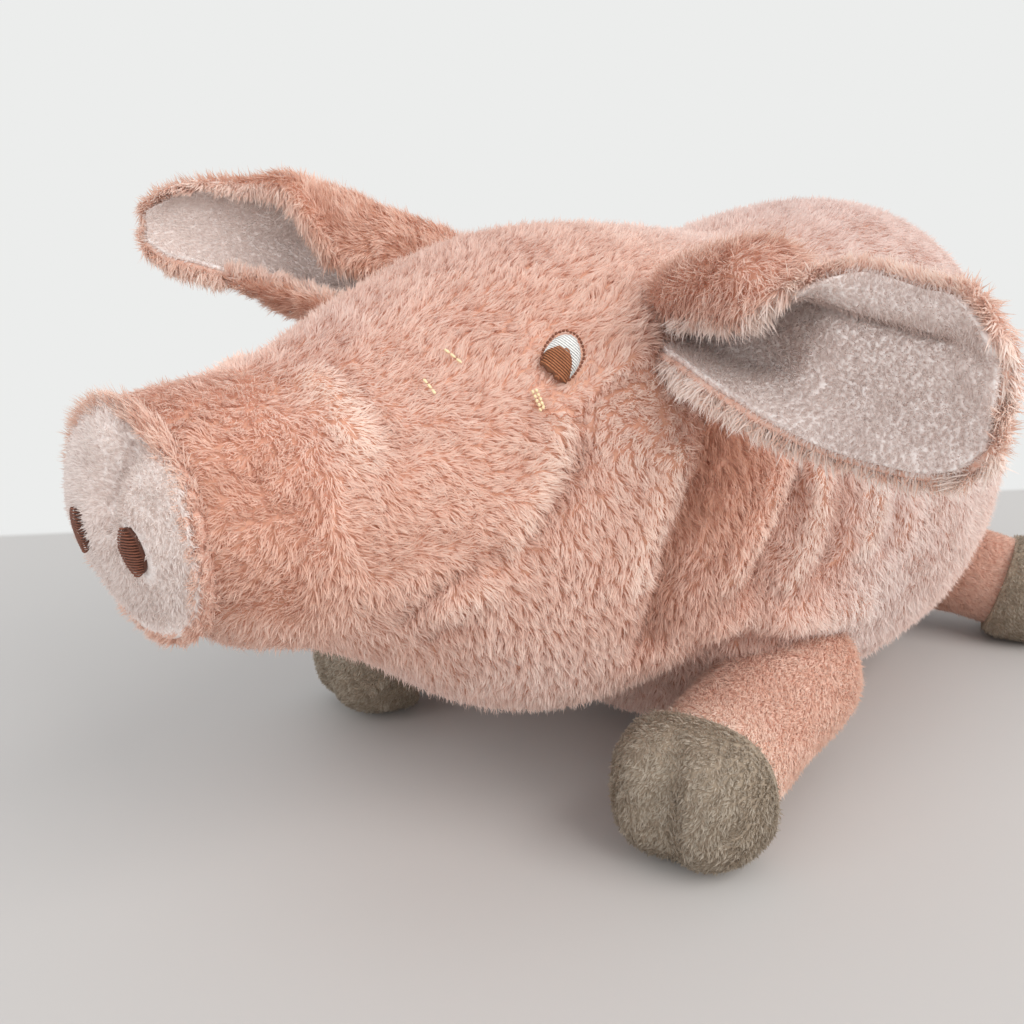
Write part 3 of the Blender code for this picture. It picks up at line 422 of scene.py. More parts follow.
class PlushPigSizes(bpy.types.PropertyGroup):
    """Sizes of the pile and the threads."""

    skin_inset: length_property("Skin inset", "How far the backing cloth lies inside the solid", 1.6)
    long_pile: length_property("Long pile", "Length of the pink pile", 4.2)
    short_pile: length_property("Short pile", "Length of the pale pile on the disc and in the ears", 1.9)
    leg_pile: length_property("Leg pile", "Length of the velvety pile on the legs", 3.3)
    hoof_pile: length_property("Hoof pile", "Length of the taupe pile", 2.0)
    fringe: length_property("Fringe", "Length of the pile that hangs over the ear rims", 10.0)
    clump: length_property("Clump", "Width of a lock of long pile", 3.2)
    thread: length_property("Thread", "Thickness of the embroidery thread", 0.42)
    density: FloatProperty(
        name="Density", description="Strands of long pile on a square millimetre", default=4.0,
        min=0.1, max=10,
    )
    seed: IntProperty(
        name="Seed", description="Number that the strands are scattered from", default=7
    )


class PlushPigColours(bpy.types.PropertyGroup):
    """Colours of the fabrics and the stage."""

    backing: colour_property("Backing", "Knit that the pile stands on", "#D3A08B")
    rim_backing: colour_property("Rim backing", "Knit under the pile of the rims and legs", "#DDBFB1")
    # The deep ends below take the pile's painted shade, in its valleys, between its locks and at its roots, and
    # the pale ends its painted highlight on ridges, besides the pile's own tone
    warm_deep: colour_property("Warm pile, deep", "Long pile of the face, in its hollows", "#D6A68D")
    warm_main: colour_property("Warm pile", "Long pile of the face", "#F1D0BE")
    warm_pale: colour_property("Warm pile, pale", "Long pile of the face, on its ridges", "#FCEADD")
    cool_deep: colour_property("Cool pile, deep", "Long pile of the flanks, in its hollows", "#D6B6AC")
    cool_main: colour_property("Cool pile", "Long pile of the flanks", "#EAD6CF")
    cool_pale: colour_property("Cool pile, pale", "Long pile of the flanks, on its ridges", "#F7EEE9")
    short_deep: colour_property("Short pile, deep", "Pale pile in its hollows", "#D9C8C1")
    short_pale: colour_property("Short pile", "Pale pile", "#F8F0EC")
    hoof_deep: colour_property("Hoof, deep", "Hoof pile in its hollows", "#9D8D7B")
    hoof_pale: colour_property("Hoof", "Hoof pile", "#D0C5B6")
    white_thread: colour_property("White thread", "White of the eye", "#FAF9F6")
    brown_thread: colour_property("Brown thread", "Outline of the eye and nostrils", "#7C432A")
    iris_thread: colour_property("Iris thread", "Iris", "#B06D44")
    cream_thread: colour_property("Cream thread", "Stitches by the eye", "#F0D9AE")
    pink_thread: colour_property("Pink thread", "Stitches under the eye", "#BE8068")
    floor: colour_property("Floor", "Table top", "#BEBAB7")
    backdrop: colour_property("Backdrop", "Behind the table", "#ECEDEC")


def sizes():
    return bpy.context.scene.plush_pig_sizes


def colours():
    return bpy.context.scene.plush_pig_colours


class Field:
    """A node's output in a sum: each step of the sum becomes a node of its own."""

    def __init__(self, socket):
        self.socket, self.is_vector = socket, socket.type == "VECTOR"

    def step(self, operation, *inputs, output=0):
        kind = "ShaderNodeVectorMath" if self.is_vector else "ShaderNodeMath"
        given = dict(enumerate(inputs or (self,)))
        return made(self.socket.id_data, kind, given, output, operation=operation)

    def __add__(self, other):
        return self.step("ADD", self, other)

    def __sub__(self, other):
        return self.step("SUBTRACT", self, other)

    def __rsub__(self, other):
        return self.step("SUBTRACT", other, self)

    def __mul__(self, other):
        if not self.is_vector:
            return self.step("MULTIPLY", self, other)
        given = {0: self, "Scale": other}
        return made(self.socket.id_data, "ShaderNodeVectorMath", given, operation="SCALE")

    def __truediv__(self, other):
        return self.step("DIVIDE", self, other)

    def __rtruediv__(self, other):
        return self.step("DIVIDE", other, self)

    def __pow__(self, other):
        return self.step("POWER", self, other)

    def dot(self, other):
        return self.step("DOT_PRODUCT", self, other, output="Value")

    def within(self, low, high):
        given = {"Value": self, "Min": low, "Max": high}
        return made(self.socket.id_data, "ShaderNodeClamp", given)


def plug(node, inputs):
    """Gives a node its inputs: each is a value, a Field or another node's output."""
    for key, value in inputs.items():
        value = value.socket if isinstance(value, Field) else value
        if isinstance(value, bpy.types.NodeSocket):
            node.id_data.links.new(value, node.inputs[key])
        else:
            node.inputs[key].default_value = value


def add(tree, kind, inputs=None, **settings):
    """Adds a node with its settings and inputs."""
    node = tree.nodes.new(kind)
    for key, value in settings.items():
        setattr(node, key, value)
    plug(node, inputs or {})
    return node


def made(tree, kind, inputs=None, output=0, **settings):
    """Adds a node and gives one of its outputs."""
    return Field(add(tree, kind, inputs, **settings).outputs[output])


def shader_of(name):
    """A new material, its tree and its Principled node."""
    material = bpy.data.materials.new(name)
    material.use_nodes = True
    return material, material.node_tree, material.node_tree.nodes["Principled BSDF"]


def ramp(tree, value, stops):
    """A colour ramp through (place, linear colour) stops."""
    node = add(tree, "ShaderNodeValToRGB", {"Fac": value})
    elements = node.color_ramp.elements
    while len(elements) < len(stops):
        elements.new(0.5)
    for element, (place, colour) in zip(elements, stops):
        element.position = place
        element.color = (*colour, 1)
    return node.outputs["Color"]


def bumped(tree, height, strength, depth):
    """A normal for a surface whose height a texture draws, in millimetres."""
    inputs = {"Height": height, "Strength": strength, "Distance": depth * MM}
    return made(tree, "ShaderNodeBump", inputs)


def pile_material(slot):
    """Brushed polyester pile. The strand's own map holds its tone, from deep to pale, along U and
    its hue, from cool to warm, along V. The root of a strand lies further to the deep end, as painted shade deep
    in the pile."""
    name, warm, cool, sheen = PILE_FABRICS[slot]
    if name in bpy.data.materials:
        return bpy.data.materials[name]
    material, tree, shader = shader_of(name)
    strand = made(tree, "ShaderNodeUVMap", output="UV", uv_map="OFBake")
    parts = add(tree, "ShaderNodeSeparateXYZ", {"Vector": strand}).outputs
    places = np.linspace(0, 1, len(warm))
    hues = [
        ramp(tree, parts["X"], list(zip(places, (getattr(colours(), key) for key in keys))))
        for keys in (cool, warm)
    ]
    inputs = {"Factor": parts["Y"], 6: hues[0], 7: hues[1]}
    colour = made(tree, "ShaderNodeMix", inputs, 2, data_type="RGBA")
    plug(shader, {
        "Base Color": colour, "Roughness": 0.85, "Sheen Weight": sheen, "Sheen Roughness": 0.5,
        "Specular IOR Level": 0.25,
    })
    # The thin fibres let much of the light through, which keeps the depth of the pile bright
    through = made(tree, "ShaderNodeBsdfTranslucent", {"Color": colour})
    both = made(tree, "ShaderNodeMixShader", {0: 0.42, 1: shader.outputs[0], 2: through})
    plug(tree.nodes["Material Output"], {"Surface": both})
    return material


def backing_material(name):
    """Knitted polyester backing: matt, with the knit's 1.2 mm loops drawn as small dents, darker between them as
    painted shade.
    """
    if name in bpy.data.materials:
        return bpy.data.materials[name]
    colour, deep = (getattr(colours(), key) for key in BACKINGS[name])
    material, tree, shader = shader_of(name)
    place = made(tree, "ShaderNodeTexCoord", output="Object")
    inputs = {"Vector": place, "Scale": 1 / (1.2 * MM)}
    loops = made(tree, "ShaderNodeTexVoronoi", inputs, "Distance")
    inputs = {"Vector": place, "Scale": 1 / (14 * MM), "Detail": 2.0}
    patches = made(tree, "ShaderNodeTexNoise", inputs)
    colour = ramp(tree, loops * patches, ((0.0, deep), (0.45, colour)))
    normal = bumped(tree, loops, 0.5, 0.3)
    plug(shader, {"Base Color": colour, "Normal": normal, "Roughness": 0.95})
    return material


def thread_material(name):
    """Trilobal polyester embroidery thread: a soft gloss, with a groove between its plies
    every 0.5 mm, drawn by a fine noise as a dent and as darker painted shade."""
    if name in bpy.data.materials:
        return bpy.data.materials[name]
    key, bright, deep = THREADS[name]
    colour, groove = (tuple(x * share for x in getattr(colours(), key)) for share in (bright, deep))
    material, tree, shader = shader_of(name)
    place = made(tree, "ShaderNodeTexCoord", output="Object")
    inputs = {"Vector": place, "Scale": 1 / (0.5 * MM), "Detail": 3.0}
    plies = made(tree, "ShaderNodeTexNoise", inputs)
    colour = ramp(tree, plies, ((0.25, groove), (0.6, colour)))
    normal = bumped(tree, plies, 0.25, 0.1)
    plug(shader, {"Base Color": colour, "Normal": normal, "Roughness": 0.6, "Sheen Weight": 0.05})
    return material


def cover(item, backing):
    """Gives a skin its backing cloth, and no other material."""
    item.data.materials.clear()
    item.data.materials.append(backing_material(backing))


def place_on(body, slot, *items):
    """Lets pieces ride on a body. Its slot is not used."""
    for item in items:
        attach(item, body)


def smooth_through(places, values, at):
    """A curve through the values that never swings past them."""
    places, values = np.asarray(places, float), np.asarray(values, float)
    steps = np.diff(places)
    slopes = np.diff(values) / steps
    tangents = np.concatenate([[slopes[0]], np.zeros(len(values) - 2), [slopes[-1]]])
    for i in range(1, len(values) - 1):
        if slopes[i - 1] * slopes[i] > 0:
            before, after = 2 * steps[i] + steps[i - 1], steps[i] + 2 * steps[i - 1]
            tangents[i] = (before + after) / (before / slopes[i - 1] + after / slopes[i])
    k = np.clip(np.searchsorted(places, at) - 1, 0, len(steps) - 1)
    t = np.clip((at - places[k]) / steps[k], 0, 1)
    h = steps[k]
    return (
        values[k] * (1 + 2 * t) * (1 - t) ** 2
        + h * tangents[k] * t * (1 - t) ** 2
        + values[k + 1] * t**2 * (3 - 2 * t)
        + h * tangents[k + 1] * t**2 * (t - 1)
    )


def eased(low, high, values):
    """0 below low, 1 above high and smooth between them; high may be the lower one."""
    t = np.clip((np.asarray(values, float) - low) / (high - low), 0, 1)
    return t * t * (3 - 2 * t)


def unit(vectors):
    return vectors / np.maximum(np.linalg.norm(vectors, axis=-1, keepdims=True), 1e-12)


def new_object(name, points, faces):
    """A smooth mesh object from points in millimetres, its faces turned outwards."""
    mesh = bpy.data.meshes.new(name)
    mesh.from_pydata((np.asarray(points, float) * MM).tolist(), [], faces)
    body = bmesh.new()
    body.from_mesh(mesh)
    bmesh.ops.recalc_face_normals(body, faces=body.faces)
    body.to_mesh(mesh)
    body.free()
    mesh.shade_smooth()
    made = bpy.data.objects.new(name, mesh)
    bpy.context.scene.collection.objects.link(made)
    return made


def closed_tube(name, rings, poles):
    """A closed mesh from equal rings of points and the two points that close its ends."""
    rings = np.asarray(rings, float)
    count, around, _ = rings.shape
    points = np.concatenate([rings.reshape(-1, 3), np.asarray(poles, float)])
    i, j = np.meshgrid(np.arange(count - 1), np.arange(around), indexing="ij")
    k = (j + 1) % around
    quads = np.stack([i * around + j, i * around + k, (i + 1) * around + k, (i + 1) * around + j], -1)
    faces = quads.reshape(-1, 4).tolist()
    last = (count - 1) * around
    for j in range(around):
        k = (j + 1) % around
        faces.append((count * around, k, j))
        faces.append((count * around + 1, last + j, last + k))
    return new_object(name, points, faces)


def settled(item):
    """Applies the object's modifiers to its mesh."""
    bpy.context.view_layer.update()
    graph = bpy.context.evaluated_depsgraph_get()
    mesh = bpy.data.meshes.new_from_object(item.evaluated_get(graph), depsgraph=graph)
    item.modifiers.clear()
    old = item.data
    item.data = mesh
    bpy.data.meshes.remove(old)
    return item


def points_of(item):
    found = np.empty(len(item.data.vertices) * 3)
    item.data.vertices.foreach_get("co", found)
    return found.reshape(-1, 3) / MM


def normals_of(item):
    found = np.empty(len(item.data.vertices) * 3)
    item.data.vertices.foreach_get("normal", found)
    return found.reshape(-1, 3)


def move_to(item, points):
    item.data.vertices.foreach_set("co", (points * MM).reshape(-1))
    item.data.update()


def grown(item, distance):
    """Moves each point along its normal, by millimetres."""
    move_to(item, points_of(item) + normals_of(item) * distance)
    return item


def fused(name, parts, voxel, rounds):
    """One skin round overlapping closed forms, as fine as the voxel in millimetres."""
    body = bmesh.new()
    for part in parts:
        body.from_mesh(part.data)
        bpy.data.objects.remove(part, do_unlink=True)
    mesh = bpy.data.meshes.new(name)
    body.to_mesh(mesh)
    body.free()
    item = bpy.data.objects.new(name, mesh)
    bpy.context.scene.collection.objects.link(item)
    step = item.modifiers.new("one_skin", "REMESH")
    step.mode = "VOXEL"
    step.voxel_size = voxel * MM
    soft = item.modifiers.new("eased", "SMOOTH")
    soft.factor = 0.5
    soft.iterations = rounds
    settled(item).data.shade_smooth()
    return item


def swelling_form(name, stations, caps, segments, rings):
    """A stuffed form along Y that swells and tapers as its stations say, with domed ends."""
    table = np.array(stations, float)
    start, end = table[0, 0], table[-1, 0]
    (front, front_z), (back, back_z) = caps
    turn = np.linspace(0, math.pi / 2, rings // 4, endpoint=False)[1:]
    middle = np.linspace(start + front, end - back, rings // 2)
    places = np.concatenate([start + front * (1 - np.cos(turn)), middle, (end - back * (1 - np.cos(turn)))[::-1]])
    shrink = np.concatenate([np.sin(turn), np.ones(len(middle)), np.sin(turn)[::-1]])
    closing = np.concatenate([np.full(len(turn), front_z), np.zeros(len(middle)), np.full(len(turn), back_z)])
    width, top, bottom, widest = (smooth_through(table[:, 0], table[:, k], places) for k in range(1, 5))
    around = np.linspace(0, 2 * math.pi, segments, endpoint=False)
    outline = []
    for y, w, up, low, mid, small, toward in zip(places, width, top, bottom, widest, shrink, closing):
        x = w * np.cos(around) * small
        z = mid + np.where(np.sin(around) > 0, up - mid, mid - low) * np.sin(around)
        if small < 1:
            z = toward + (z - toward) * small
        outline.append(np.stack([x, np.full(segments, y), z], axis=1))
    return closed_tube(name, outline, [(0, start, front_z), (0, end, back_z)])


def trimmed(item, point, normal):
    """Cuts off what lies behind a plane, in millimetres, and closes the cut."""
    body = bmesh.new()
    body.from_mesh(item.data)
    everything = body.verts[:] + body.edges[:] + body.faces[:]
    found = bmesh.ops.bisect_plane(
        body, geom=everything, plane_co=Vector(point) * MM, plane_no=-Vector(normal), clear_outer=True
    )
    edges = [e for e in found["geom_cut"] if isinstance(e, bmesh.types.BMEdge)]
    bmesh.ops.holes_fill(body, edges=edges)
    bmesh.ops.triangulate(body, faces=[f for f in body.faces if len(f.verts) > 4])
    bmesh.ops.recalc_face_normals(body, faces=body.faces)
    body.to_mesh(item.data)
    body.free()
    item.data.update()
    return item


def mark(item, **fields):
    """Stores a number or a vector on each point of a skin, for its pile to read."""
    if "warm" not in fields:
        fields["warm"] = np.full(len(item.data.vertices), 0.5)
    for name, values in fields.items():
        values = np.asarray(values, np.float32)
        kind, key = ("FLOAT_VECTOR", "vector") if values.ndim == 2 else ("FLOAT", "value")
        attribute = item.data.attributes.new(name, kind, "POINT")
        attribute.data.foreach_set(key, values.reshape(-1))


def tree_over(item):
    """A search tree over an object's faces, in metres."""
    body = bmesh.new()
    body.from_mesh(item.data)
    tree = BVHTree.FromBMesh(body)
    body.free()
    return tree


def depth_inside(points, tree):
    """How deep each point lies inside a closed skin, in millimetres; outside it is negative."""
    depths = np.empty(len(points))
    for i, point in enumerate(points):
        place, normal, _, distance = tree.find_nearest(Vector(point) * MM)
        sign = 1 if (place - Vector(point) * MM).dot(normal) > 0 else -1
        depths[i] = sign * distance / MM
    return depths


def strand_shape():
    """One strand as a slim flat leaf, widest at its middle: X is across it and Z along it, from 0 to 1. The
    pile's nodes bend it.
    """
    if "strand" in bpy.data.objects:
        return bpy.data.objects["strand"]
    mesh = bpy.data.meshes.new("strand")
    corners = [(0, 0, 0), (-1, 0, 0.5), (1, 0, 0.5), (0, 0, 1)]
    mesh.from_pydata(corners, [], [(0, 1, 2), (1, 3, 2)])
    mesh.shade_smooth()
    return bpy.data.objects.new("strand", mesh)


def node_group(name, kinds, result):
    """A new Geometry Nodes group, and what it is given, as Fields by name."""
    tree = bpy.data.node_groups.new(name, "GeometryNodeTree")
    for key, kind in kinds.items():
        tree.interface.new_socket(name=key, in_out="INPUT", socket_type=f"NodeSocket{kind}")
    tree.interface.new_socket(name=result, in_out="OUTPUT", socket_type="NodeSocketGeometry")
    given = add(tree, "NodeGroupInput").outputs
    return tree, {key: Field(given[key]) for key in kinds}


def finish_group(tree, geometry, material):
    """Gives the group's result its material and hands it out."""
    inputs = {"Geometry": geometry, "Material": material}
    plug(add(tree, "NodeGroupOutput"), {0: made(tree, "GeometryNodeSetMaterial", inputs)})
    return tree


def run_group(item, tree, values):
    """Runs a group on an object with its inputs, and keeps what comes out as the object's mesh."""
    step = item.modifiers.new("nodes", "NODES")
    step.node_group = tree
    identifiers = {s.name: s.identifier for s in tree.interface.items_tree if s.in_out == "INPUT"}
    for key, value in values.items():
        step[identifiers[key]] = value
    settled(item)
    if not item.data.polygons:
        raise RuntimeError(f"{item.name} has come out empty")


def pile_tree():
    """Geometry Nodes that grow a pile on a skin. The skin's points carry: away, the direction that
    the pile stands in; comb, the way it lies; pile, a share of the length; thick, a share of the
    density; tone, from 0 for deep to 1 for pale; warm, from 0 for cool to 1 for warm."""
    if "combed_pile" in bpy.data.node_groups:
        return bpy.data.node_groups["combed_pile"]
    kinds = {"skin": "Geometry", **dict.fromkeys(USUAL_PILE, "Float")}
    kinds.update({"seed": "Int", "strand": "Object", "material": "Material"})
    tree, given = node_group("combed_pile", kinds, "Pile")

    def field(name, kind="FLOAT"):
        inputs = {"Name": name}
        return made(tree, "GeometryNodeInputNamedAttribute", inputs, "Attribute", data_type=kind)

    def ways(name):
        return field(name, "FLOAT_VECTOR")

    def chance(low, high, offset):
        inputs = {2: low, 3: high, "Seed": given["seed"] + offset}
        return made(tree, "FunctionNodeRandomValue", inputs, 1, data_type="FLOAT")

    def turned(direction, axis, angle):
        inputs = {"Vector": direction, "Axis": axis, "Angle": angle}
        return made(tree, "ShaderNodeVectorRotate", inputs, rotation_type="AXIS_ANGLE")

    def stored(geometry, name, value, kind, domain="POINT"):
        inputs = {"Geometry": geometry, "Name": name, "Value": value}
        settings = {"data_type": kind, "domain": domain}
        return made(tree, "GeometryNodeStoreNamedAttribute", inputs, **settings)

    inputs = {
        "Mesh": given["skin"], "Density": given["density"] * field("thick"), "Seed": given["seed"],
    }
    points = made(
        tree, "GeometryNodeDistributePointsOnFaces", inputs, "Points", distribute_method="RANDOM"
    )
    root = made(tree, "GeometryNodeInputPosition")
    away = ways("away").step("NORMALIZE")
    inputs = {"Vector": root, "Scale": 1.0 / given["swirl"], "Detail": 1.0}
    swirl = made(tree, "ShaderNodeTexNoise", inputs)
    turn = (swirl - 0.5) * (given["turn"] * 4.0) + chance(-1.0, 1.0, 11) * given["stray"]
    comb = ways("comb")
    way = turned((comb - away * comb.dot(away)).step("NORMALIZE"), away, turn)
    across = turned(away.step("CROSS_PRODUCT", away, way), way, chance(-0.7, 0.7, 23))
    length = given["length"] * field("pile") * chance(0.65, 1.15, 31)

    # Each lock gathers toward its middle
    cells = add(tree, "ShaderNodeTexVoronoi", {"Vector": root, "Scale": 1.0 / given["clump"]}).outputs
    toward = Field(cells["Position"]) - root
    toward = toward - away * toward.dot(away)
    gap = toward.step("LENGTH", output="Value") / given["clump"]
    upright = chance(0.0, 1.0, 71) ** 4.0
    lift = away * (length * (given["rise"] + upright * given["upright"]))
    lay = way * (length * (given["reach"] * (1.0 - upright * 0.6)))

    own = chance(-1.0, 1.0, 43) * (given["spread"] * 0.5)
    lock = made(tree, "FunctionNodeSeparateColor", {"Color": cells["Color"]})
    # Tone: the place's own, a random share for the strand and for its lock, and painted shade towards the edge of
    # each lock, where the locks part
    tone = field("tone") + own + ((lock - 0.5) * given["spread"] + (gap - 0.35) * -0.4)
    warm = field("warm") + chance(-0.1, 0.1, 57)
    for name, value in (
        ("root", root),
        ("bend", away * (length * 0.45)),
        ("rise", lift + lay + toward * given["pull"]),
        ("side", across * (given["width"] * 0.5)),
        ("shade", tone.within(0.02, 0.98)),
        ("warmth", warm.within(0.02, 0.98)),
    ):
        points = stored(points, name, value, "FLOAT_VECTOR" if value.is_vector else "FLOAT")

    strand = made(tree, "GeometryNodeObjectInfo", {"Object": given["strand"]}, "Geometry")
    strand = stored(strand, "spot", made(tree, "GeometryNodeInputPosition"), "FLOAT_VECTOR")
    pile = made(tree, "GeometryNodeInstanceOnPoints", {"Points": points, "Instance": strand})
    pile = made(tree, "GeometryNodeRealizeInstances", {"Geometry": pile})

    # Each strand's points go to their places along its bend, and stay above the floor
    spot = add(tree, "ShaderNodeSeparateXYZ", {"Vector": ways("spot")}).outputs
    x, t = Field(spot["X"]), Field(spot["Z"])
    place = ways("root") + ways("bend") * (t * (1.0 - t)) + ways("rise") * (t * t) + ways("side") * x
    apart = add(tree, "ShaderNodeSeparateXYZ", {"Vector": place}).outputs
    above = Field(apart["Z"])
    above = above.step("MAXIMUM", above, FLOOR_GAP)
    place = made(tree, "ShaderNodeCombineXYZ", {"X": apart["X"], "Y": apart["Y"], "Z": above})
    pile = made(tree, "GeometryNodeSetPosition", {"Geometry": pile, "Position": place})
    pile = made(tree, "GeometryNodeSetShadeSmooth", {0: pile, 2: False})

    # The strand's map: its tone, deeper at the root as painted shade, and its hue, with a little width across
    u = (field("shade") + (t - 1.0) * given["root_drop"] + x * 0.004).within(0.01, 0.99)
    own_map = made(tree, "ShaderNodeCombineXYZ", {"X": u, "Y": field("warmth") + x * 0.004})
    pile = stored(pile, "OFBake", own_map, "FLOAT2", "CORNER")
    return finish_group(tree, pile, given["material"])


def grow_pile(name, skin, kind, slot, region=None, length=None):
    """Grows a pile on a skin, or on a region of it, as a plain mesh of its own. Kind is a row of
    PILES, region a share for each point, and length in metres."""
    ground = bpy.data.objects.new(name, skin.data.copy())
    bpy.context.scene.collection.objects.link(ground)
    if region is not None:
        thick = np.empty(len(region), np.float32)
        ground.data.attributes["thick"].data.foreach_get("value", thick)
        ground.data.attributes["thick"].data.foreach_set("value", (thick * region).astype(np.float32))
    s = sizes()
    usual = {"density": s.density * 1e6, "length": length or s.long_pile, "clump": s.clump}
    values = {**USUAL_PILE, **usual, **PILES[kind]}
    values.update(seed=s.seed, strand=strand_shape(), material=pile_material(slot))
    run_group(ground, pile_tree(), values)
    for helper in ("root", "bend", "rise", "side", "shade", "warmth", "spot"):
        if helper in ground.data.attributes:
            ground.data.attributes.remove(ground.data.attributes[helper])
    return ground


BODY_PARTS = {}


def to_line(points, line):
    """Each point's distance from a line of points, and how far from its ends the nearest place is."""
    line = np.asarray(line, float)
    steps = np.linalg.norm(np.diff(line, axis=0), axis=1)
    before = np.concatenate([[0], np.cumsum(steps)])
    best, place = np.full(len(points), 1e9), np.zeros(len(points))
    for i, (start, end) in enumerate(zip(line, line[1:])):
        share = np.clip((points - start) @ (end - start) / steps[i] ** 2, 0, 1)
        gap = np.linalg.norm(points - start - share[:, None] * (end - start), axis=1)
        nearer = gap < best
        best[nearer] = gap[nearer]
        place[nearer] = before[i] + share[nearer] * steps[i]
    return best, np.minimum(place, before[-1] - place)


def folded(item, folds, both=True):
    """Presses folds into a skin, on both sides or one. Gives how much lighter each point's pile is painted:
    painted highlight on ridges, painted shade in valleys.
    """
    points, normals = points_of(item), normals_of(item)
    mirrored = points.copy()
    if both:
        mirrored[:, 0] = np.abs(mirrored[:, 0])
    height, painted_fold_light = np.zeros(len(points)), np.zeros(len(points))
    for line, rise, width, pale in folds:
        gap, end = to_line(mirrored, line)
        share = np.exp(-((gap / width) ** 2)) * eased(-1.0, 6.0, end)
        height += rise * share
        painted_fold_light += pale * share
    move_to(item, points + normals * height[:, None])
    return painted_fold_light


def napped(points):
    """The way that the nap lies, its tone and its warmth at each point, from the nearby places."""
    mirrored = points.copy()
    side = np.where(points[:, 0] < 0, -1.0, 1.0)
    mirrored[:, 0] = np.abs(mirrored[:, 0])
    total, ways = np.zeros(len(points)), np.zeros((len(points), 3))
    tone, warmth = np.zeros(len(points)), np.zeros(len(points))
    for place, way, pale, warm in NAP:
        weight = 1 / (((mirrored - np.array(place)) ** 2).sum(1) + 120) ** 1.5
        total += weight
        ways += weight[:, None] * unit(np.array(way, float))
        tone += weight * pale
        warmth += weight * warm
    ways[:, 0] *= side
    return unit(ways), tone / total, warmth / total


class Face:
    """A flat frame on a skin: it turns flat points into points on the surface and back."""

    def __init__(self, tree, middle, across, up):
        self.tree, self.middle = tree, Vector(middle)
        self.across, self.up = Vector(across).normalized(), Vector(up).normalized()

    def at(self, x, y, height):
        place, normal, _, _ = self.tree.find_nearest((self.middle + self.across * x + self.up * y) * MM)
        return np.array(place / MM + normal * height)

    def flat(self, points):
        return (points - np.array(self.middle)) @ np.array([self.across, self.up]).T


def eye_frame(tree, side):
    """The frame of one eye, on the side of the head."""
    hit = tree.ray_cast(Vector((side * 200, *EYE_AT)) * MM, Vector((-side, 0, 0)))
    normal = hit[1]
    along = Vector((0, 1, 0)) - normal * normal.y
    up = Vector((0, 0, 1)) - normal * normal.z
    return Face(tree, hit[0] / MM, along, up)


def beyond(flat, outline):
    """How far out each flat point lies, as a share of an outline round the origin."""
    outline = np.array(outline, float)
    turn = np.arctan2(outline[:, 1], outline[:, 0])
    order = np.argsort(turn)
    reach = np.linalg.norm(outline, axis=1)[order]
    own = np.interp(np.arctan2(flat[:, 1], flat[:, 0]), turn[order], reach, period=2 * math.pi)
    return np.linalg.norm(flat, axis=1) / own


class PLUSHPIG_OT_body(bpy.types.Operator):
    """Make the stuffed torso and head and their pink pile"""

    bl_idname = "plush_pig.body"
    bl_label = "Torso and head"

    def execute(self, context):
        torso = swelling_form("torso_form", TORSO_STATIONS, TORSO_CAPS, 96, 100)
        head = swelling_form("head_form", HEAD_STATIONS, HEAD_CAPS, 96, 120)
        skin = fused("body_skin", [torso, head], 2.4, 6)
        trimmed(skin, (0, SNOUT_SEAM_Y + 0.4, 0), (0, 1, 0))
        grown(skin, -sizes().skin_inset / MM)
        move_to(skin, lean_back(points_of(skin)))
        painted_fold_light = folded(skin, FOLDS)
        points, normals = points_of(skin), normals_of(skin)
        points[:, 2] = np.maximum(points[:, 2], 0.6)
        move_to(skin, points)
        x, y, z = points.T
        comb, tone, warm = napped(points)
        at_seam = eased(-236, -245, y)[:, None]
        comb = unit(comb * (1 - at_seam) + np.array([0, -1.0, 0]) * at_seam)
        tree = tree_over(skin)
        eye, sewing = np.full(len(x), 9.0), np.full(len(x), 99.0)
        for side in (1, -1):
            face = eye_frame(tree, side)
            flat = face.flat(points)
            near = np.linalg.norm(points - np.array(face.middle), axis=1) < 30
            eye[near] = np.minimum(eye[near], beyond(flat[near], EYE_OUTLINE))
            for path in (*UNDER_EYE_PATHS, CHEEK_STITCH_PATH):
                line = np.array([(*spot, 0.0) for spot in path])
                gap, _ = to_line(np.column_stack([flat[near], np.zeros(near.sum())]), line)
                sewing[near] = np.minimum(sewing[near], gap)
        front = eased(-0.75, -0.6, normals[:, 1] * (y < SNOUT_SEAM_Y + 3))
        pile = 0.5 + 0.5 * eased(1.0, 2.2, eye)
        pile *= (0.4 + 0.6 * eased(0.5, 2.5, sewing)) * (0.85 + 0.15 * eased(-240, -215, y))
        under = eased(-0.45, -0.8, normals[:, 2])
        thick = eased(0.97, 1.08, eye) * front * (1 - 0.55 * under) * np.where(x < 0, 0.85, 1.0)
        # The folds add their painted highlight and painted shade to the tone
        tone = tone + painted_fold_light
        mark(skin, away=normals, comb=comb, pile=pile, thick=thick, tone=tone, warm=warm)
        cover(skin, "pink_knit_backing")
        left = (x > 0).astype(float)
        for name, low, high in STRETCHES:
            for side_name, side in (("left", left), ("right", 1 - left)):
                region = side * ((y >= low) & (y < high))
                piece = grow_pile(f"{name}_pile_{side_name}", skin, name, "long_pile", region)
                if name == "neck":
                    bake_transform(piece)
                elif name in ("snout", "cheek"):
                    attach(piece, "head")
                else:
                    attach(piece, "torso")
        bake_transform(skin)
        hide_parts("torso_cover", "torso_filling", "head_cover", "head_filling")
        BODY_PARTS["body"] = tree_over(skin)
        return {"FINISHED"}


def lean_back(points):
    """Moves the lower lip of the snout back, as the stuffing lets it sink."""
    points = np.array(points, float)
    points[:, 1] += SNOUT_LEAN * eased(112, 82, points[:, 2]) * eased(-222, -244, points[:, 1])
    return points


def disc_rings(shares, segments):
    """Points of the disc's front, ring by ring."""
    turn = np.linspace(0, 2 * math.pi, segments, endpoint=False)
    rings = []
    for share in shares:
        x = DISC_HALF_WIDTH * share * np.cos(turn)
        z = DISC_MIDDLE + DISC_HALF * share * np.sin(turn)
        y = np.full(segments, DISC_FRONT + DISC_BULGE * share**DISC_FULLNESS)
        rings.append(np.stack([x, y, z], axis=1))
    return rings


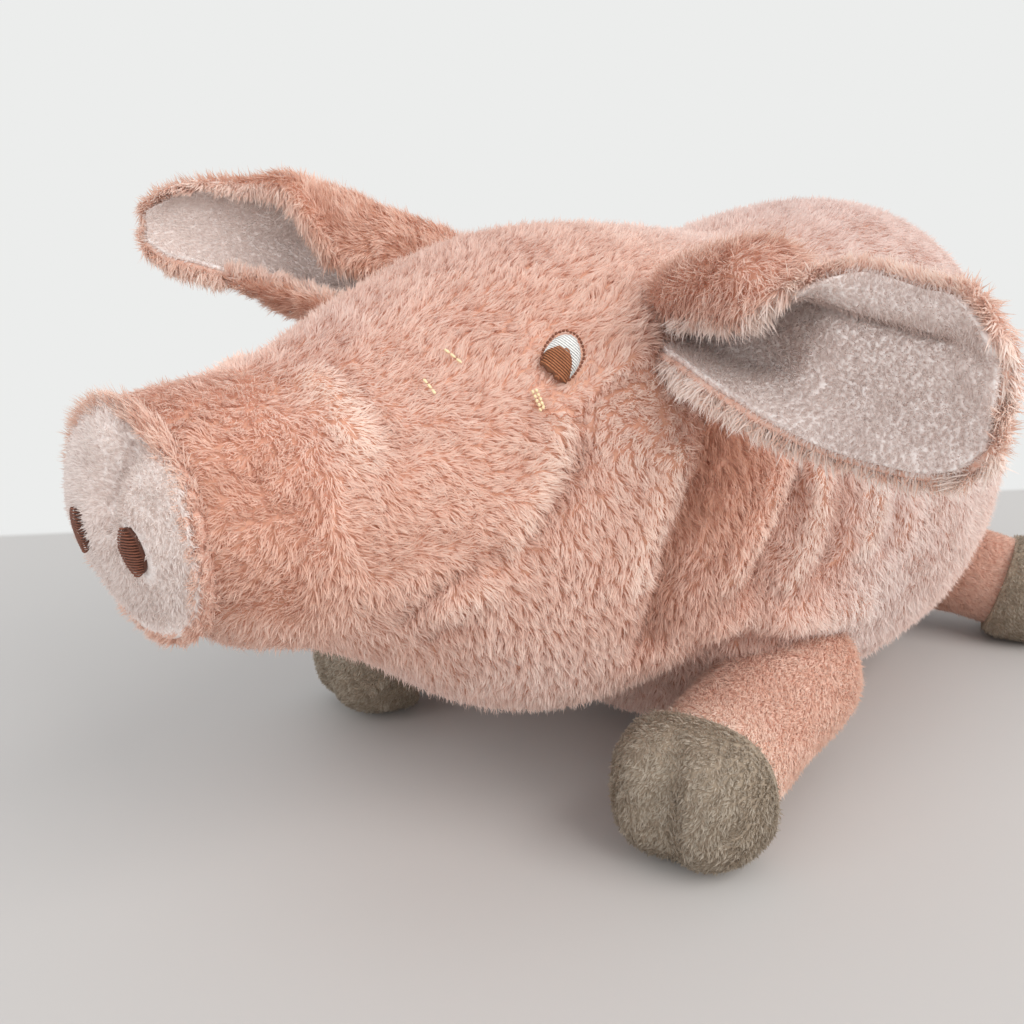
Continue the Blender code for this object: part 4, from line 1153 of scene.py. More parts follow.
class PLUSHPIG_OT_disc(bpy.types.Operator):
    """Make the pale disc at the end of the snout and its short pile"""

    bl_idname = "plush_pig.disc"
    bl_label = "Snout disc"

    def execute(self, context):
        rings = disc_rings(np.linspace(0.04, 1, 26), 84)
        rim = rings[-1].copy()
        for shift, size in ((1.2, 1.0), (2.6, 0.985), (4.0, 0.95)):
            ring = rim.copy()
            ring[:, 0] *= size
            ring[:, 2] = (ring[:, 2] - DISC_MIDDLE) * size + DISC_MIDDLE
            ring[:, 1] += shift
            rings.append(ring)
        poles = [(0, DISC_FRONT, DISC_MIDDLE), (0, SNOUT_SEAM_Y + 2, DISC_MIDDLE)]
        skin = closed_tube("snout_disc_skin", rings, poles)
        grown(skin, -0.8)
        move_to(skin, lean_back(points_of(skin)))
        painted_fold_light = folded(skin, DISC_FOLDS, both=False)
        points, normals = points_of(skin), normals_of(skin)
        x, y, z = points.T
        around = unit(np.stack([x, np.zeros(len(x)), z - 112], axis=1))
        comb = unit(around + np.array([0, 0, -0.3]))
        thick = np.ones(len(x))
        for side in (1, -1):
            lean = math.radians(side * NOSTRIL_LEAN)
            dx, dz = x - side * NOSTRIL_AT[0], z - NOSTRIL_AT[1]
            across = dx * math.cos(lean) + dz * math.sin(lean)
            up = -dx * math.sin(lean) + dz * math.cos(lean)
            thick *= eased(0.98, 1.12, np.hypot(across / NOSTRIL_SIZE[0], up / NOSTRIL_SIZE[1]))
        thick *= eased(SNOUT_SEAM_Y + 1.0, SNOUT_SEAM_Y - 0.5, y)
        # Painted light: the disc is painted lighter towards its top and on the pig's left half, which faces the
        # light, and deeper on the other half as painted shade
        tone = 0.68 + 0.2 * (z - DISC_MIDDLE) / DISC_HALF + 0.26 * eased(6, 20, x) + painted_fold_light
        mark(skin, away=normals, comb=comb, pile=np.ones(len(x)), thick=thick, tone=tone)
        cover(skin, "pale_knit_backing")
        length = sizes().short_pile
        pile = grow_pile("snout_disc_pile", skin, "disc", "short_pile", length=length)
        # The seam round the disc, which is drawn in a little and covered by the fringe
        turn = np.linspace(0, 2 * math.pi, 97)
        high = eased(0.3, 0.95, np.sin(turn))
        x = (DISC_HALF_WIDTH - DISC_HEM_INSET) * np.cos(turn)
        z = DISC_MIDDLE + (DISC_HALF - DISC_HEM_INSET - 1.0 * high) * np.sin(turn)
        line = lean_back(np.stack([x, SNOUT_SEAM_Y + 0.1 - 0.8 * high, z], axis=1))
        hem = tube_along("snout_disc_hem", line, DISC_HEM_RADIUS)
        points = points_of(hem)
        out = unit(points * (1, 0, 1) - (0, 0, DISC_MIDDLE))
        high = eased(0.3, 0.95, out[:, 2])
        ahead = unit(out * 0.5 + np.array([0, -1.0, 0]) + np.array([0, 0, 0.2]))
        outer = eased(-0.2, 0.5, (normals_of(hem) * (out + np.array([0, -0.6, 0]))).sum(1))
        # Painted light: the seam's fringe is painted a little lighter towards the top
        tone, warm = 0.64 + 0.06 * out[:, 2], np.full(len(points), 0.75)
        mark(hem, away=out, comb=ahead, pile=1 + 0.7 * high, thick=outer, tone=tone, warm=warm)
        cover(hem, "rim_knit_backing")
        fringe = grow_pile("snout_disc_fringe", hem, "disc_fringe", "long_pile")
        place_on("head", "long_pile", hem, fringe)
        place_on("head", "short_pile", pile, skin)
        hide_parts("snout_disc")
        BODY_PARTS["disc"] = tree_over(skin)
        return {"FINISHED"}


def leg_frame(leg):
    """Hip, hoof centre, ways along, across and up the leg, and its length."""
    hip, hoof = (Vector(place) for place in LEGS[leg])
    along = (hoof - hip).normalized()
    across = Vector((along.y, -along.x, 0)).normalized()
    upward = across.cross(along).normalized()
    if upward.z < 0:
        across, upward = -across, -upward
    return hip, hoof, along, across, upward, (hoof - hip).length


def leg_form(name, leg):
    """A leg from its ball-shaped hip to the middle of its hoof."""
    hip, _, along, across, upward, length = leg_frame(leg)
    turn = np.linspace(0, 2 * math.pi, 72, endpoint=False)
    hip_turn = np.linspace(0, math.pi / 2, 15, endpoint=False)[1:]
    places = list(-HIP_RADIUS * np.cos(hip_turn)) + list(np.linspace(0, length, 26))
    radii = list(HIP_RADIUS * np.sin(hip_turn))
    for place in places[len(radii) :]:
        share = min(1, place / (0.55 * length))
        radii.append(HIP_RADIUS + (LEG_RADIUS - HIP_RADIUS) * share * share * (3 - 2 * share))
    outline = []
    for place, radius in zip(places, radii):
        middle = hip + along * place
        flat = 1 - (1 - LEG_FLATNESS) * min(1, max(0, place / length) * 2)
        wide, high = across * radius, upward * radius * flat
        outline.append([tuple(middle + wide * math.cos(a) + high * math.sin(a)) for a in turn])
    poles = [tuple(hip - along * HIP_RADIUS), tuple(hip + along * (length + 0.01))]
    return closed_tube(name, outline, poles)


def hoof_form(name, leg):
    """A rounded hoof with a cleft down the middle of its front."""
    _, hoof, along, across, _, _ = leg_frame(leg)
    level = Vector((along.x, along.y, 0)).normalized()
    half_width, half_length, half_height = HOOF_SIZE
    outline = []
    for tilt in np.linspace(0, math.pi, 44)[1:-1]:
        ring = []
        for a in np.linspace(0, 2 * math.pi, 72, endpoint=False):
            side_way, up = math.sin(tilt) * math.cos(a), math.sin(tilt) * math.sin(a)
            forward = math.cos(tilt)
            spread = sum(abs(way) ** HOOF_SQUARENESS for way in (side_way, up, forward))
            squareness = 1 / spread ** (1 / HOOF_SQUARENESS)
            dent = CLEFT_DEPTH * math.exp(-((side_way * half_width / CLEFT_WIDTH) ** 2))
            dent *= max(0, forward + 0.25)
            point = hoof + across * side_way * half_width * squareness
            point += Vector((0, 0, 1)) * up * half_height * squareness
            ring.append(tuple(point + level * (forward * half_length * squareness - dent)))
        outline.append(ring)
    poles = [tuple(hoof + level * (half_length - CLEFT_DEPTH)), tuple(hoof - level * half_length)]
    return closed_tube(name, outline, poles)


def hoof_seam(leg):
    """A point on the seam between leg and hoof, and the way forwards across it."""
    _, hoof, along, _, _, _ = leg_frame(leg)
    level = Vector((along.x, along.y, 0)).normalized()
    across = Vector((-level.y, level.x, 0))
    leans = (math.radians(sign * HOOF_SEAM_LEAN) for sign in (1, -1))
    forwards = ((Matrix.Rotation(lean, 4, across) @ level).normalized() for lean in leans)
    forward = min(forwards, key=lambda way: way.z)
    back = HIND_HOOF_SEAM_BACK if leg.startswith("hind") else HOOF_SEAM_BACK
    return hoof - level * back, forward


class PLUSHPIG_OT_legs(bpy.types.Operator):
    """Make the four legs and hooves with their pile"""

    bl_idname = "plush_pig.legs"
    bl_label = "Legs and hooves"

    def execute(self, context):
        s = sizes()
        for leg in LEGS:
            _, hoof_centre, along, _, _, _ = leg_frame(leg)
            seam, forward = hoof_seam(leg)
            skin = grown(leg_form(f"leg_{leg}_skin", leg), -s.skin_inset / MM)
            points, normals = points_of(skin), normals_of(skin)
            ahead = (points - np.array(seam)) @ np.array(forward)
            comb = unit(np.tile(np.array(along), (len(points), 1)) + np.array([0, 0, -0.25]))
            depth = depth_inside(points, BODY_PARTS["body"])
            sole = eased(-0.5, -0.9, normals[:, 2])
            thick = eased(1.5, -0.5, ahead) * eased(6, 3, depth) * (1 - 0.5 * sole)
            near = eased(-22, -4, ahead)
            # Painted shade makes the hind legs' pile deeper
            tone = 0.66 + 0.26 * near - (HIND_LEG_PAINTED_SHADE if leg.startswith("hind") else 0)
            warm = np.full(len(points), 0.9)
            pile = 1 - 0.15 * near
            mark(skin, away=normals, comb=comb, pile=pile, thick=thick, tone=tone, warm=warm)
            cover(skin, "rim_knit_backing")
            pile = grow_pile(f"leg_{leg}_pile", skin, "leg", "long_pile", length=s.leg_pile)
            hoof = grown(hoof_form(f"hoof_{leg}_skin", leg), -HOOF_INSET)
            trimmed(hoof, seam, forward)
            points, normals = points_of(hoof), normals_of(hoof)
            ahead = (points - np.array(seam)) @ np.array(forward)
            out = unit(points - np.array(hoof_centre))
            comb = unit(out * 0.3 + np.array(along) + np.array([0, 0, -0.35]))
            sole = eased(-0.5, -0.9, normals[:, 2])
            thick = eased(0.0, 0.6, ahead) * (1 - 0.6 * sole)
            # Painted light: the hoof's pile is painted lighter where it faces up
            tone = 0.5 + 0.25 * eased(-0.2, 0.8, normals[:, 2])
            mark(hoof, away=normals, comb=comb, pile=np.ones(len(points)), thick=thick, tone=tone)
            cover(hoof, "taupe_knit_backing")
            fur = grow_pile(f"hoof_{leg}_pile", hoof, "hoof", "hoof_pile", length=s.hoof_pile)
            place_on(f"leg_{leg}", "long_pile", skin, pile)
            place_on(f"leg_{leg}", "hoof_pile", hoof, fur)
            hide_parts(f"leg_{leg}_cover", f"leg_{leg}_filling")
            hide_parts(f"hoof_{leg}")
        return {"FINISHED"}


def ear_frame(ear):
    """An ear's root and the ways along it, forwards and up."""
    side, forward = ear["side"], math.radians(ear["forward"])
    along = Vector((side * math.cos(forward), -math.sin(forward), 0))
    front = Vector((-side * math.sin(forward), -math.cos(forward), 0))
    return Vector(ear["root"]), along, front, Vector((0, 0, 1))


def ear_sheet(ear, rows, columns):
    """The seam surface of an ear as a grid of points, with the ways to its lined side, along it and
    across it."""
    root, along, front, up = ear_frame(ear)
    cloth, folds = np.array(ear["cloth"], float), ear["folds"]
    across = np.linspace(0, 1, columns)
    fine = np.linspace(0, 1, 241)
    grid = np.zeros((rows, columns, 3))
    shares = 1 - (1 - np.linspace(0, 1, rows)) ** 1.3
    lower, upper = (smooth_through(cloth[:, 0], cloth[:, k], shares) for k in (1, 2))
    stops = np.array([fold[0] for fold in folds])
    rows_of_bends = zip(*(fold[1] for fold in folds))
    bends = [smooth_through(stops, bend, shares) for bend in rows_of_bends]
    for i, share in enumerate(shares):
        turn = np.radians(smooth_through(ear["across"], [bend[i] for bend in bends], fine))
        below = fine[1:] <= EAR_AXIS
        step = np.where(below, lower[i] / EAR_AXIS, upper[i] / (1 - EAR_AXIS)) / (len(fine) - 1)
        root_end = float(eased(0.56, 0.34, share))
        roll = ear["roll"][0] * root_end + ear["roll"][1] * (1 - root_end)
        step = step * (1 + roll * eased(0.54, 0.62, fine[1:]))
        between = (turn[1:] + turn[:-1]) / 2
        forth = np.concatenate([[0], np.cumsum(np.cos(between) * step)])
        rise = np.concatenate([[0], np.cumsum(np.sin(between) * step)])
        forth -= np.interp(EAR_AXIS, fine, forth)
        rise -= np.interp(EAR_AXIS, fine, rise)
        lift = ear["rise"] * share + ear["arch"] * 4 * share * (1 - share)
        # The root end is drawn in under the head's cover, where it is sewn
        place = share - ear["drawn_in"] * float(eased(0.16, 0.0, share))
        centre = np.array(root + along * EAR_LENGTH * place + up * lift)
        forth, rise = np.interp(across, fine, forth), np.interp(across, fine, rise)
        grid[i] = centre + np.outer(forth, front) + np.outer(rise, up)
    press = np.zeros((rows, columns))
    for place, height, amount, length, width in ear["dents"]:
        lengthways, crossways = (shares[:, None] - place) / length, (across - height) / width
        press += amount * np.exp(-(lengthways**2) - crossways**2)
    for amounts in (press, None):
        lengthways, crossways = np.gradient(grid, axis=0), np.gradient(grid, axis=1)
        lined = unit(ear["side"] * np.cross(lengthways, crossways))
        if amounts is not None:
            grid = grid + lined * amounts[..., None]
    return grid, lined, unit(lengthways), unit(crossways)


def sheet_panel(name, grid, normals, low, high):
    """A panel of cloth between two offsets from a grid of points."""
    rows, columns, _ = grid.shape
    points = np.concatenate([(grid + normals * h).reshape(-1, 3) for h in (low, high)])
    size = rows * columns
    faces = []
    for i in range(rows - 1):
        for j in range(columns - 1):
            a, b = i * columns + j, (i + 1) * columns + j
            faces.append((a, a + 1, b + 1, b))
            faces.append((size + a, size + b, size + b + 1, size + a + 1))
    rim = [(0, j) for j in range(columns)] + [(i, columns - 1) for i in range(1, rows)]
    rim += [(rows - 1, j) for j in range(columns - 2, -1, -1)] + [(i, 0) for i in range(rows - 2, 0, -1)]
    rim = [i * columns + j for i, j in rim]
    for a, b in zip(rim, rim[1:] + rim[:1]):
        faces.append((a, b, size + b, size + a))
    return new_object(name, points, faces)


def tube_along(name, line, radius, sides=8):
    """A round tube along a line of points."""
    line = np.asarray(line, float)
    ways = unit(np.gradient(line, axis=0))
    turn = np.linspace(0, 2 * math.pi, sides, endpoint=False)[:, None]
    rings = []
    for place, way in zip(line, ways):
        across = np.cross(way, (0.0, 0.0, 1.0))
        if np.linalg.norm(across) < 1e-3:
            across = np.array([1.0, 0, 0])
        across = across / np.linalg.norm(across)
        other = np.cross(way, across)
        rings.append(place + (np.cos(turn) * across + np.sin(turn) * other) * radius)
    poles = [line[0] - ways[0] * radius * 0.5, line[-1] + ways[-1] * radius * 0.5]
    return closed_tube(name, rings, poles)


class PLUSHPIG_OT_ears(bpy.types.Operator):
    """Make the ears: pink backs, pale linings and the fringe round their rims"""

    bl_idname = "plush_pig.ears"
    bl_label = "Ears"

    def execute(self, context):
        s = sizes()
        rows, columns = EAR_GRID
        for name, ear in EARS.items():
            grid, lined, along, cross = ear_sheet(ear, rows, columns)
            body = f"ear_{name}"
            back = sheet_panel(f"ear_{name}_back_skin", grid, lined, *EAR_BACK_BETWEEN)
            lining = sheet_panel(f"ear_{name}_lining_skin", grid, lined, *EAR_LINING_BETWEEN)
            places = np.linspace(0, 1, columns)[None, :, None]
            outward = np.where(places > 0.5, cross, -cross)
            rim_share = eased(0.16, 0.0, np.minimum(places, 1 - places))
            tip_share = eased(0.8, 1.0, np.linspace(0, 1, rows))[:, None, None]
            flow = along * (1 - 0.75 * rim_share) + outward * rim_share * 0.9 + along * tip_share
            flow = np.concatenate([unit(flow).reshape(-1, 3)] * 2)
            facing = np.concatenate([lined.reshape(-1, 3)] * 2)
            for item, outer, slot in ((back, -1, "long_pile"), (lining, 1, "short_pile")):
                points, normals = points_of(item), normals_of(item)
                open_side = eased(-0.2, 0.3, (normals * facing * outer).sum(1))
                depth = depth_inside(points, BODY_PARTS["body"])
                thick = open_side * eased(4, 1, depth)
                # Painted shade: the pile is painted deeper where the ear meets the head and lighter further out
                painted_light_off_head = eased(0, 14, -depth)
                tone = (0.38 if outer < 0 else ear["tone"]) + 0.12 * painted_light_off_head
                warm = np.full(len(points), ear["warmth"] if outer < 0 else 0.5)
                pile = np.ones(len(points))
                mark(item, away=normals, comb=flow, pile=pile, thick=thick, tone=tone, warm=warm)
                cover(item, "pink_knit_backing" if outer < 0 else "pale_knit_backing")
                part = "back" if outer < 0 else "lining"
                pile = grow_pile(
                    f"ear_{name}_{part}_pile", item, f"ear_{part}", slot, length=s.short_pile
                )
                place_on(body, slot, item, pile)
            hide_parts(f"ear_{name}_back")
            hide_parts(f"ear_{name}_lining")
            rim = [(i, 0) for i in range(1, rows)] + [(rows - 1, j) for j in range(1, columns)]
            rim += [(i, columns - 1) for i in range(rows - 2, 0, -1)]
            line = np.array([grid[i, j] - lined[i, j] * 1.0 for i, j in rim])
            # The fringe stands outwards from the rim, and hangs where it faces down
            away = []
            for i, j in rim:
                way = -cross[i, j] if j == 0 else cross[i, j] if j == columns - 1 else along[i, j]
                if i >= rows - 3:
                    way = way + along[i, j]
                away.append(way - lined[i, j] * 0.35)
            away = unit(np.array(away))
            hem = tube_along(f"ear_{name}_hem", line, EAR_HEM_RADIUS)
            points = points_of(hem)
            nearest = np.array([np.argmin(((line - p) ** 2).sum(1)) for p in points])
            depth = depth_inside(points, BODY_PARTS["body"])
            low = eased(0.3, -0.3, away[nearest][:, 2])[:, None]
            facing = np.array([lined[i, j] for i, j in rim])[nearest]
            hang = facing * 0.7 * (1 - low) + away[nearest] * 0.5 + np.array([0, 0, -0.9]) * low
            mark(
                hem,
                away=away[nearest],
                comb=unit(hang),
                pile=0.75 + 0.25 * low[:, 0],
                thick=eased(3, 0, depth),
                tone=0.75 + (ear["low_rim"][0] - 0.75) * low[:, 0],
                warm=0.6 + (ear["low_rim"][1] - 0.6) * low[:, 0],
            )
            cover(hem, "rim_knit_backing")
            length = s.fringe * FRINGE_STANDING
            fringe = grow_pile(f"ear_{name}_fringe", hem, "ear_fringe", "long_pile", length=length)
            place_on(body, "long_pile", hem, fringe)
        return {"FINISHED"}


def thread_tree():
    """Geometry Nodes that turn the edges of a mesh into round threads of one thickness."""
    if "sewn_thread" in bpy.data.node_groups:
        return bpy.data.node_groups["sewn_thread"]
    kinds = {"lines": "Geometry", "thickness": "Float", "sides": "Int", "material": "Material"}
    tree, given = node_group("sewn_thread", kinds, "Threads")
    lines = made(tree, "GeometryNodeMeshToCurve", {"Mesh": given["lines"]})
    inputs = {"Resolution": given["sides"], "Radius": given["thickness"] * 0.5}
    ring = made(tree, "GeometryNodeCurvePrimitiveCircle", inputs)
    inputs = {"Name": "fullness"}
    taper = made(
        tree, "GeometryNodeInputNamedAttribute", inputs, "Attribute", data_type="FLOAT"
    )
    inputs = {"Curve": lines, "Profile Curve": ring, "Scale": taper, "Fill Caps": True}
    threads = made(tree, "GeometryNodeCurveToMesh", inputs)
    threads = made(tree, "GeometryNodeRealizeInstances", {"Geometry": threads})
    return finish_group(tree, threads, given["material"])


def sewn(name, lines, thickness, material):
    """Threads along lines of points in millimetres, as one piece that rides on the head."""
    points, edges, fullness = [], [], []
    for line in lines:
        start = len(points)
        points.extend(tuple(p) for p in line)
        edges.extend((start + i, start + i + 1) for i in range(len(line) - 1))
        share = np.linspace(0, 1, len(line))
        fullness.extend(np.clip(np.minimum(share, 1 - share) * len(line) * 0.45 + 0.45, 0, 1))
    mesh = bpy.data.meshes.new(name)
    mesh.from_pydata((np.array(points) * MM).tolist(), edges, [])
    item = bpy.data.objects.new(name, mesh)
    bpy.context.scene.collection.objects.link(item)
    mark(item, fullness=np.array(fullness))
    values = {"thickness": float(thickness), "sides": THREAD_SIDES, "material": material}
    run_group(item, thread_tree(), values)
    item.data.shade_smooth()
    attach(item, "head")
    return item


def oval(size, lean, count):
    """Points round an oval that leans by some degrees."""
    turn = np.radians(np.linspace(0, 360, count, endpoint=False))
    across, up = size[0] * np.cos(turn), size[1] * np.sin(turn)
    cosine, sine = math.cos(math.radians(lean)), math.sin(math.radians(lean))
    return np.stack([across * cosine - up * sine, across * sine + up * cosine], axis=1)


def patch(name, face, outline, low, high, material):
    """A low dome of dense stitching inside an outline, laid on a surface."""
    outline = np.array(outline, float)
    middle = outline.mean(0)
    rings = []
    for share in (0.12, 0.35, 0.6, 0.8, 0.93, 1.0):
        height = low + (high - low) * (1 - share**4)
        rings.append([face.at(x, y, height) for x, y in middle + (outline - middle) * share])
    rings.append([face.at(x, y, low - PATCH_ROOT) for x, y in outline])
    item = closed_tube(name, rings, [face.at(*middle, high), face.at(*middle, low - PATCH_ROOT)])
    item.data.materials.append(material)
    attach(item, "head")
    return item


def hatched(face, outline, angle, pitch, height, dome, ragged=0.12):
    """Parallel threads that fill an outline, at an angle in degrees, with slightly ragged ends."""
    outline = np.array(outline, float)
    middle, turn = outline.mean(0), math.radians(angle)
    way = np.array([math.cos(turn), math.sin(turn)])
    side = np.array([-way[1], way[0]])
    after = np.roll(outline, -1, axis=0)
    heights = (outline - middle) @ side
    lines, count = [], 0
    for offset in np.arange(heights.min() + pitch * 0.4, heights.max(), pitch):
        low, high = (outline - middle) @ side - offset, (after - middle) @ side - offset
        crossed = low * high < 0
        spots = outline[crossed] + (after - outline)[crossed] * (low / (low - high))[crossed][:, None]
        ends = np.sort((spots - middle) @ way)
        for start, end in zip(ends[::2], ends[1::2]):
            count += 1
            start += ragged * math.sin(count * 12.9)
            end += ragged * math.sin(count * 7.3)
            if end - start < pitch:
                continue
            line = []
            for share in np.linspace(0, 1, 9):
                spot = middle + way * (start + (end - start) * share) + side * offset
                bulge = dome * (1 - abs(2 * share - 1) ** 3)
                sunk = THREAD_END_SUNK if share in (0, 1) else 0
                line.append(face.at(spot[0], spot[1], height + bulge - sunk))
            lines.append(line)
    return lines


def dashes(face, path, length, gap, height, arch=0.25):
    """Short stitches one after another along a path of flat points."""
    path = np.asarray(path, float)
    at = np.linspace(0, len(path) - 1, 200)
    curve = np.stack([smooth_through(np.arange(len(path)), path[:, k], at) for k in range(2)], axis=1)
    run = np.concatenate([[0], np.cumsum(np.linalg.norm(np.diff(curve, axis=0), axis=1))])
    count = max(1, int(round(run[-1] / (length + gap))))
    lines = []
    for k in range(count):
        start = run[-1] * k / count
        places = start + np.linspace(0, 1, 6) * length
        xs, ys = np.interp(places, run, curve[:, 0]), np.interp(places, run, curve[:, 1])
        lifts = height + arch * np.sin(np.linspace(0, math.pi, 6))
        lines.append([face.at(x, y, lift) for x, y, lift in zip(xs, ys, lifts)])
    return lines


class PLUSHPIG_OT_face(bpy.types.Operator):
    """Sew the eyes, the stitches round them and the nostrils"""

    bl_idname = "plush_pig.face"
    bl_label = "Embroidery"

    def execute(self, context):
        thread = sizes().thread
        white, brown, shaded_white_ground, shaded_iris_ground, shaded_brown_ground, iris_brown, cream, pink = (
            thread_material(name) for name in THREADS
        )
        for name, side in (("left", 1), ("right", -1)):
            face = eye_frame(BODY_PARTS["body"], side)
            # Each patch under the threads is painted in a darker copy of their colour: painted shade between the
            # top threads
            base = patch(f"eye_white_patch_{name}", face, WHITE_OUTLINE, 1.2, 1.5, shaded_white_ground)
            lines = hatched(face, WHITE_OUTLINE, -52, 0.6, 1.5, 0.4)
            threads = sewn(f"eye_white_threads_{name}", lines, thread, white)
            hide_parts(f"eye_white_{name}")
            base = patch(f"iris_patch_{name}", face, IRIS_OUTLINE, 2.2, 2.6, shaded_iris_ground)
            lines = hatched(face, IRIS_OUTLINE, -53, 0.6, 2.7, 0.4, 0.35)
            threads = sewn(f"iris_threads_{name}", lines, thread, iris_brown)
            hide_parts(f"iris_{name}")
            lines = dashes(face, EYE_OUTLINE, 0.62, 0.42, 2.5)
            outline = sewn(f"eye_outline_stitches_{name}", lines, thread * 1.7, brown)
            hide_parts(f"eye_outline_{name}")
            sets = (
                ("under_eye_stitch", UNDER_EYE_PATHS, 0.75, 0.5, 2.3, cream, "cream_thread", 1.8),
                ("cheek_stitch", (CHEEK_STITCH_PATH,), 1.3, 0.25, 2.5, pink, "pink_thread", 1.2),
            )
            for node, paths, length, gap, height, material, slot, width in sets:
                lines = sum((dashes(face, path, length, gap, height, 0.5) for path in paths), [])
                stitches = sewn(f"{node}_threads_{name}", lines, thread * width, material)
                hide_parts(f"{node}_{name}")
            lines = []
            for start, end in BROW_STITCHES:
                for share in (0, 0.36, 0.72):
                    line = []
                    for t in np.linspace(share, share + 0.3, 6):
                        spot = np.array(start) + (np.array(end) - np.array(start)) * t
                        spot = Vector((spot[0] * side, spot[1], spot[2]))
                        place, normal, _, _ = BODY_PARTS["body"].find_nearest(spot * MM)
                        line.append(np.array(place / MM + normal * 2.6))
                    lines.append(line)
            stitches = sewn(f"brow_stitch_threads_{name}", lines, thread * 1.7, cream)
            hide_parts(f"brow_stitch_{name}")
            place = (side * NOSTRIL_AT[0], SNOUT_SEAM_Y - 2 * DISC_BULGE, NOSTRIL_AT[1])
            face = Face(BODY_PARTS["disc"], place, (1, 0, 0), (0, 0, 1))
            rim = oval(NOSTRIL_SIZE, side * NOSTRIL_LEAN, 32)
            # Painted shade: the nostril's patch is a darker copy of its thread
            base = patch(f"nostril_patch_{name}", face, rim, 0.8, 1.0, shaded_brown_ground)
            lines = hatched(face, rim, side * NOSTRIL_LEAN - side * 8, 0.72, 1.3, 0.6, 0.25)
            threads = sewn(f"nostril_threads_{name}", lines, thread, brown)
            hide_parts(f"nostril_{name}")
        return {"FINISHED"}


class PLUSHPIG_OT_tail(bpy.types.Operator):
    """Make the curled tail and its pile"""

    bl_idname = "plush_pig.tail"
    bl_label = "Tail"

    def execute(self, context):
        share = np.linspace(0, 1, 60)
        turn = share * TAIL_TURNS * 2 * math.pi
        opening = TAIL_COIL_RADIUS * np.minimum(1, share * 4) ** 2
        behind = TAIL_LEAD * np.minimum(1, share * 5) + TAIL_PITCH * share * TAIL_TURNS
        line = np.stack([opening * np.sin(turn), behind, opening * (1 - np.cos(turn))], axis=1)
        line += np.array(TAIL_ROOT, float)
        line = np.concatenate([line[:1] - (line[1] - line[0]) * 3, line])
        skin = tube_along("tail_skin", line, TAIL_RADIUS - TAIL_INSET, 20)
        points, normals = points_of(skin), normals_of(skin)
        ways = unit(np.gradient(line, axis=0))
        nearest = np.array([np.argmin(((line - p) ** 2).sum(1)) for p in points])
        depth = depth_inside(points, BODY_PARTS["body"])
        mark(
            skin,
            away=normals,
            comb=ways[nearest],
            pile=np.full(len(points), 0.7),
            thick=eased(3, 1, depth),
            tone=np.full(len(points), 0.5),
        )
        cover(skin, "pink_knit_backing")
        pile = grow_pile("tail_pile", skin, "tail", "long_pile")
        place_on("tail", "long_pile", skin, pile)
        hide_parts("tail")
        return {"FINISHED"}


